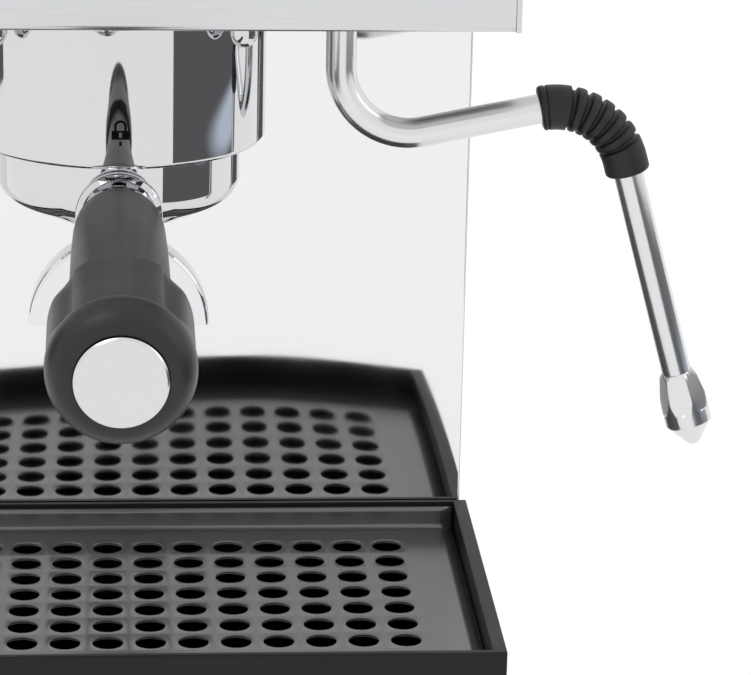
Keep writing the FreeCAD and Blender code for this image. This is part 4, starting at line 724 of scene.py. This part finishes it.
def make_grid():
    """Perforated sheet with drawn-down hole rims, turned up along its rear edge."""
    half, pitch, hole, columns, rows = 110.2, 12.6, 4.5, 15, 7
    top, back, front, last_row = 54.0, grid_high.y, grid_low.y, -47.0
    per_side, edge_steps, bend, bend_steps, sheet = 10, 4, 1.6, 8, 1.0
    rim = ((hole + 0.35, top), (hole + 0.1, top - 0.09), (hole, top - 0.35))
    vertices, faces, index = [], [], {}

    def vertex(x, y, z):
        key = (round(x, 3), round(y, 3), round(z, 3))
        if key not in index:
            index[key] = len(vertices)
            vertices.append(key)
        return index[key]

    def square(k):
        side, t = divmod(k, per_side)
        t = t / per_side * 2 - 1
        return ((1, t), (-t, 1), (-1, -t), (t, -1))[side]

    count = per_side * 4
    outline = [square(k) for k in range(count)]
    for i in range(columns):
        for j in range(rows):
            cx, cy = (i - (columns - 1) / 2) * pitch, last_row - j * pitch
            loops = [[vertex(cx + u * pitch / 2, cy + v * pitch / 2, top) for u, v in outline]]
            for r, z in rim:
                loops.append([vertex(cx + u / math.hypot(u, v) * r, cy + v / math.hypot(u, v) * r, z)
                              for u, v in outline])
            for a, b in zip(loops, loops[1:]):
                for k in range(count):
                    n = (k + 1) % count
                    faces.append((a[k], a[n], b[n], b[k]))

    def strip(xs, ys):
        for x0, x1 in zip(xs, xs[1:]):
            for (y0, z0), (y1, z1) in zip(ys, ys[1:]):
                faces.append(tuple(vertex(*point) for point in (
                    (x0, y0, z0), (x1, y0, z0), (x1, y1, z1), (x0, y1, z1))))

    holes_half = columns * pitch / 2
    margin = half - holes_half
    x_steps = [-half + margin * k / edge_steps for k in range(edge_steps)]
    x_steps += [-holes_half + pitch / per_side * k for k in range(columns * per_side + 1)]
    x_steps += [holes_half + margin * k / edge_steps for k in range(1, edge_steps + 1)]
    first, last = last_row + pitch / 2, last_row - (rows - 0.5) * pitch
    flat_rows = [(last + pitch / per_side * k, top) for k in range(rows * per_side + 1)]
    strip(x_steps[:edge_steps + 1], flat_rows)
    strip(x_steps[edge_steps + columns * per_side:], flat_rows)
    strip(x_steps, [(front + (last - front) * k / 3, top) for k in range(4)])
    face_y = back - sheet
    rear = [(first + (face_y - bend - first) * k / 3, top) for k in range(4)]
    rear += [(face_y - bend + bend * math.sin(a), top + bend - bend * math.cos(a))
             for a in (math.pi / 2 * k / bend_steps for k in range(1, bend_steps + 1))]
    rear += [(face_y, top + bend + (grid_high.z - top - bend) * k / 3) for k in range(1, 4)]
    strip(x_steps, rear)
    piece = finish_mesh("cup_grid", vertices, faces, "grid", "grid_steel", 35)
    solid = piece.modifiers.new("thickness", "SOLIDIFY")
    solid.thickness = sheet * MM
    solid.offset = -1
    solid.use_even_offset = True
    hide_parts("drip_grid")


# ------------------------------------------------------------ controls

def make_dial_marks():
    """Scale on the gauge: ticks round three quarters of the dial and plain numbers."""
    low, high = corners("gauge_dial")
    centre = Vector(((low.x + high.x) / 2, low.y - 0.05, (low.z + high.z) / 2))
    start_angle, sweep, ticks, ticks_per_number, value_step = 225, 270, 32, 4, 2
    tick_end, number_radius, number_size, number_depth = 21.2, 14.2, 3.4, 0.02

    def heading(share):
        a = math.radians(start_angle - sweep * share)
        return Vector((math.cos(a), 0, math.sin(a))), Vector((-math.sin(a), 0, math.cos(a)))

    vertices, faces = [], []
    for k in range(ticks + 1):
        along, across = heading(k / ticks)
        tick_start, half = (17.5, 0.32) if k % ticks_per_number == 0 else (19, 0.16)
        start = len(vertices)
        outline = ((tick_start, -half), (tick_end, -half), (tick_end, half), (tick_start, half))
        vertices += [centre + along * r + across * w for r, w in outline]
        faces.append(tuple(range(start, start + 4)))
    finish_mesh("dial_marks", vertices, faces, "chassis", "printed_ink")
    numbers = ticks // ticks_per_number
    for k in range(numbers + 1):
        text = bpy.data.curves.new(f"dial_number_{k}", "FONT")
        text.body = str(k * value_step)
        text.size = number_size * MM
        text.align_x, text.align_y = "CENTER", "CENTER"
        text.extrude = number_depth * MM
        label = bpy.data.objects.new(f"dial_number_{k}", text)
        text.materials.append(LOOKS["printed_ink"])
        bpy.context.scene.collection.objects.link(label)
        label.location = (centre + heading(k / numbers)[0] * number_radius) * MM
        label.rotation_euler = (math.pi / 2, 0, 0)
        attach(label, "chassis")


# ------------------------------------------------------------ CAD nodes that stay

# Material, and the width of the bevel on its sharp edges in millimetres.
DRESSED = {
    "front_panel": ("front_steel", 0.1), "side_panel_left": ("side_steel", 0.1),
    "side_panel_right": ("side_steel", 0.1), "back_panel": ("side_steel", 0.2),
    "top_cover": ("flat_steel", 0.3), "head_underside_plate": ("flat_steel", 0.2),
    "base_pan": ("flat_steel", 0.3), "column_front_panel": ("mirror_steel", 0.3),
    "drip_tray": ("tray_plastic", 0.5), "switch_frames": ("black_plastic", 0.4),
    "rocker_power": ("black_plastic", 0), "rocker_brew": ("black_plastic", 0),
    "rocker_steam": ("black_plastic", 0), "tank_lid": ("black_plastic", 0.3),
    "tank_dock": ("black_plastic", 0.3), "steam_knob": ("black_plastic", 0), "rubber_feet": ("rubber", 0),
    "water_tank": ("tank_clear", 0), "cable_gland": ("black_plastic", 0.3), "gauge_case": ("chrome", 0.4),
    "gauge_dial": ("dial_paper", 0), "gauge_glass": ("glass", 0), "gauge_needle": ("printed_ink", 0),
    "indicator_lamps": ("lamp_red", 0), "screws": ("bright_steel", 0), "drain_pipe": ("chrome", 0),
    "filter_basket": ("bright_steel", 0), "group_lug_ring": ("chrome", 0), "group_head": ("brass", 0),
    "group_gasket": ("rubber", 0), "shower_screen": ("bright_steel", 0), "boiler_lower": ("brass", 0),
    "boiler_upper": ("brass", 0), "boiler_bolts": ("bright_steel", 0),
    "heating_element": ("bright_steel", 0), "thermostats": ("black_plastic", 0),
    "solenoid_body": ("brass", 0), "solenoid_coil": ("black_plastic", 0.6), "steam_pipe": ("brass", 0),
    "steam_valve_body": ("brass", 0), "steam_spindle": ("bright_steel", 0),
    "pump_body": ("black_plastic", 0), "pump_coil": ("black_plastic", 0.8),
    "pump_bracket": ("flat_steel", 0.3), "pump_plunger": ("bright_steel", 0),
    "pump_spring": ("bright_steel", 0), "hose_tank_to_pump": ("silicone", 0),
    "pipe_pump_to_boiler": ("silicone", 0),
}


def dress_nodes():
    """Gives each CAD node that stays its material, and a small bevel on sharp moulded or sheared edges."""
    weld_gap, flat_angle, sharp_angle = 1e-6, math.radians(0.4), math.radians(35)
    for name, (look, bevel) in DRESSED.items():
        node = nodes[name]
        node.data.materials.clear()
        node.data.materials.append(LOOKS[look])
        if bevel:
            weld = node.modifiers.new("weld", "WELD")
            weld.merge_threshold = weld_gap
            flat = node.modifiers.new("flat", "DECIMATE")
            flat.decimate_type = "DISSOLVE"
            flat.angle_limit = flat_angle
            edge = node.modifiers.new("edge", "BEVEL")
            edge.width = bevel * MM
            edge.segments = 3
            edge.limit_method = "ANGLE"
            edge.angle_limit = sharp_angle
            edge.harden_normals = True


def squash_spring():
    """Gives the pump's spring its own copy of its mesh."""
    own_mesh(nodes["pump_spring"])


# ------------------------------------------------------------ studio

# The even shade of the dark cards.
CARD_SHADE = (0.122, 0.122, 0.126, 1)


def rectangle(w, h):
    """Corners of a level rectangle round the origin, from half its width and height."""
    return [(-w, -h, 0), (w, -h, 0), (w, h, 0), (-w, h, 0)]


def flat_sheet(name, points, material):
    """A four-cornered sheet of the studio, in metres."""
    mesh = bpy.data.meshes.new(name)
    mesh.from_pydata(points, [], [(0, 1, 2, 3)])
    mesh.materials.append(material)
    sheet = bpy.data.objects.new(name, mesh)
    bpy.context.scene.collection.objects.link(sheet)
    return sheet


def make_card(name, points, material):
    """A sheet that shows only in glossy surfaces."""
    card = flat_sheet(name, points, material)
    card.visible_camera = card.visible_diffuse = card.visible_shadow = card.visible_transmission = False
    return card


def empty_material(name):
    """A material without nodes, and its node tree."""
    material = bpy.data.materials.new(name)
    material.use_nodes = True
    material.node_tree.nodes.clear()
    return material, material.node_tree


def make_dark_material():
    """The plain shade of the dark cards, which light doesn't change."""
    material, tree = empty_material("dark_card")
    emission = tree.nodes.new("ShaderNodeEmission")
    emission.inputs["Color"].default_value = CARD_SHADE
    emission.inputs["Strength"].default_value = 1.0
    output = tree.nodes.new("ShaderNodeOutputMaterial")
    tree.links.new(emission.outputs[0], output.inputs["Surface"])
    return material


def make_lamp_material(spot):
    """The shade of the dark cards with a soft bluish lamp, a flat ellipse round a point."""
    reach, edge_end, lamp_color = (0.20, 0.20, 0.020), 0.62, (0.61, 0.68, 0.80, 1)
    material, tree = empty_material("card_with_lamp")
    place = tree.nodes.new("ShaderNodeTexCoord")
    mapping = tree.nodes.new("ShaderNodeMapping")
    mapping.vector_type = "TEXTURE"
    mapping.inputs["Location"].default_value = spot
    mapping.inputs["Scale"].default_value = reach
    ball = tree.nodes.new("ShaderNodeTexGradient")
    ball.gradient_type = "SPHERICAL"
    edge = tree.nodes.new("ShaderNodeMapRange")
    edge.interpolation_type = "SMOOTHSTEP"
    edge.inputs["From Max"].default_value = edge_end
    shades = tree.nodes.new("ShaderNodeMix")
    shades.data_type = "RGBA"
    shades.inputs["A"].default_value = CARD_SHADE
    shades.inputs["B"].default_value = lamp_color
    emission = tree.nodes.new("ShaderNodeEmission")
    output = tree.nodes.new("ShaderNodeOutputMaterial")
    tree.links.new(place.outputs["Object"], mapping.inputs["Vector"])
    tree.links.new(mapping.outputs["Vector"], ball.inputs["Vector"])
    tree.links.new(ball.outputs["Fac"], edge.inputs["Value"])
    tree.links.new(edge.outputs["Result"], shades.inputs["Factor"])
    tree.links.new(shades.outputs["Result"], emission.inputs["Color"])
    tree.links.new(emission.outputs[0], output.inputs["Surface"])
    return material


def make_cards():
    """Dark cards at both sides that only glossy surfaces see, the right one with a soft bluish lamp."""
    distance, azimuths, card_low, card_high = 0.42, (40.5, 96.5), 0.035, 0.17
    lamp_share, lamp_height = 0.95, 0.1075
    stand = Vector((GROUP.x * MM, GROUP.y * MM, 0))
    left, right = (stand + Vector((math.sin(a), -math.cos(a), 0)) * distance
                   for a in map(math.radians, azimuths))
    low, high = Vector((0, 0, card_low)), Vector((0, 0, card_high))
    lamp = make_lamp_material(left.lerp(right, lamp_share) + Vector((0, 0, lamp_height)))
    make_card("card_right", [left + low, right + low, right + high, left + high], lamp)
    w, h = 0.25, 0.3
    centre, facing = Vector((-0.75, 0.25, 0.2)), Vector((0, -0.1, 0.16))
    card = make_card("card_left", rectangle(w, h), make_dark_material())
    card.location = centre
    card.rotation_euler = (facing - centre).to_track_quat("Z", "Y").to_euler()


def make_floor():
    """Plain white table, a little self-lit so that it stays pale beside the machine."""
    shade, glow, reach = 0.24, 0.82, 20
    material = bpy.data.materials.new("white_table")
    material.use_nodes = True
    shader = material.node_tree.nodes["Principled BSDF"]
    shader.inputs["Base Color"].default_value = (shade, shade, shade, 1)
    shader.inputs["Roughness"].default_value = 0.9
    shader.inputs["Specular IOR Level"].default_value = 0.0
    shader.inputs["Emission Color"].default_value = (1, 1, 1, 1)
    shader.inputs["Emission Strength"].default_value = glow
    floor = flat_sheet("table_top", rectangle(reach, reach), material)


def make_light(name, location, target, size, power, color=(1, 1, 1)):
    """A rectangular lamp turned to a point."""
    light = bpy.data.lights.new(name, "AREA")
    light.shape = "RECTANGLE"
    light.size, light.size_y = size
    light.energy = power
    light.color = color
    lamp = bpy.data.objects.new(name, light)
    bpy.context.scene.collection.objects.link(lamp)
    lamp.location = location
    lamp.rotation_euler = (Vector(target) - Vector(location)).to_track_quat("-Z", "Y").to_euler()


def make_studio():
    """White surroundings, table, two lamps and the cards."""
    scene = bpy.context.scene
    scene.view_settings.view_transform = "Standard"
    scene.view_settings.look = "None"
    world = bpy.data.worlds.new("studio")
    scene.world = world
    world.use_nodes = True
    background = world.node_tree.nodes["Background"]
    background.inputs["Color"].default_value = (1, 1, 1, 1)
    background.inputs["Strength"].default_value = 1.0
    make_floor()
    aim = (0, -0.1, 0.18)
    make_light("key", (-0.7, -0.6, 1.6), aim, (0.8, 0.8), 4)
    make_light("fill", (1.5, -0.4, 1.0), aim, (0.4, 1.0), 2, (0.86, 0.93, 1.0))
    make_cards()


def make_camera():
    """Long lens in front and above, aimed right of the middle so that the left side runs out of frame."""
    focal_length, eye_place = 167.6, (0, -1.0755, 0.46256)
    pitch, yaw, roll = math.radians(18.191), math.radians(4.624), math.radians(1.28)
    camera = bpy.data.cameras.new("camera")
    camera.lens = focal_length
    camera.sensor_width = 36
    camera.clip_start, camera.clip_end = 0.05, 50
    eye = bpy.data.objects.new("camera", camera)
    bpy.context.scene.collection.objects.link(eye)
    eye.location = eye_place
    turn = Matrix.Rotation(-yaw, 3, "Z") @ Matrix.Rotation(math.pi / 2 - pitch, 3, "X")
    eye.rotation_euler = (turn @ Matrix.Rotation(roll, 3, "Z")).to_euler()
    bpy.context.scene.camera = eye


make_cover()
make_holder()
make_cap_nuts()
make_padlock()
make_spout()
make_ferrule()
make_neck()
make_grip()
make_end_disc()
make_tube()
make_sleeve()
make_tip()
make_grid()
make_dial_marks()
dress_nodes()
squash_spring()
make_studio()
make_camera()
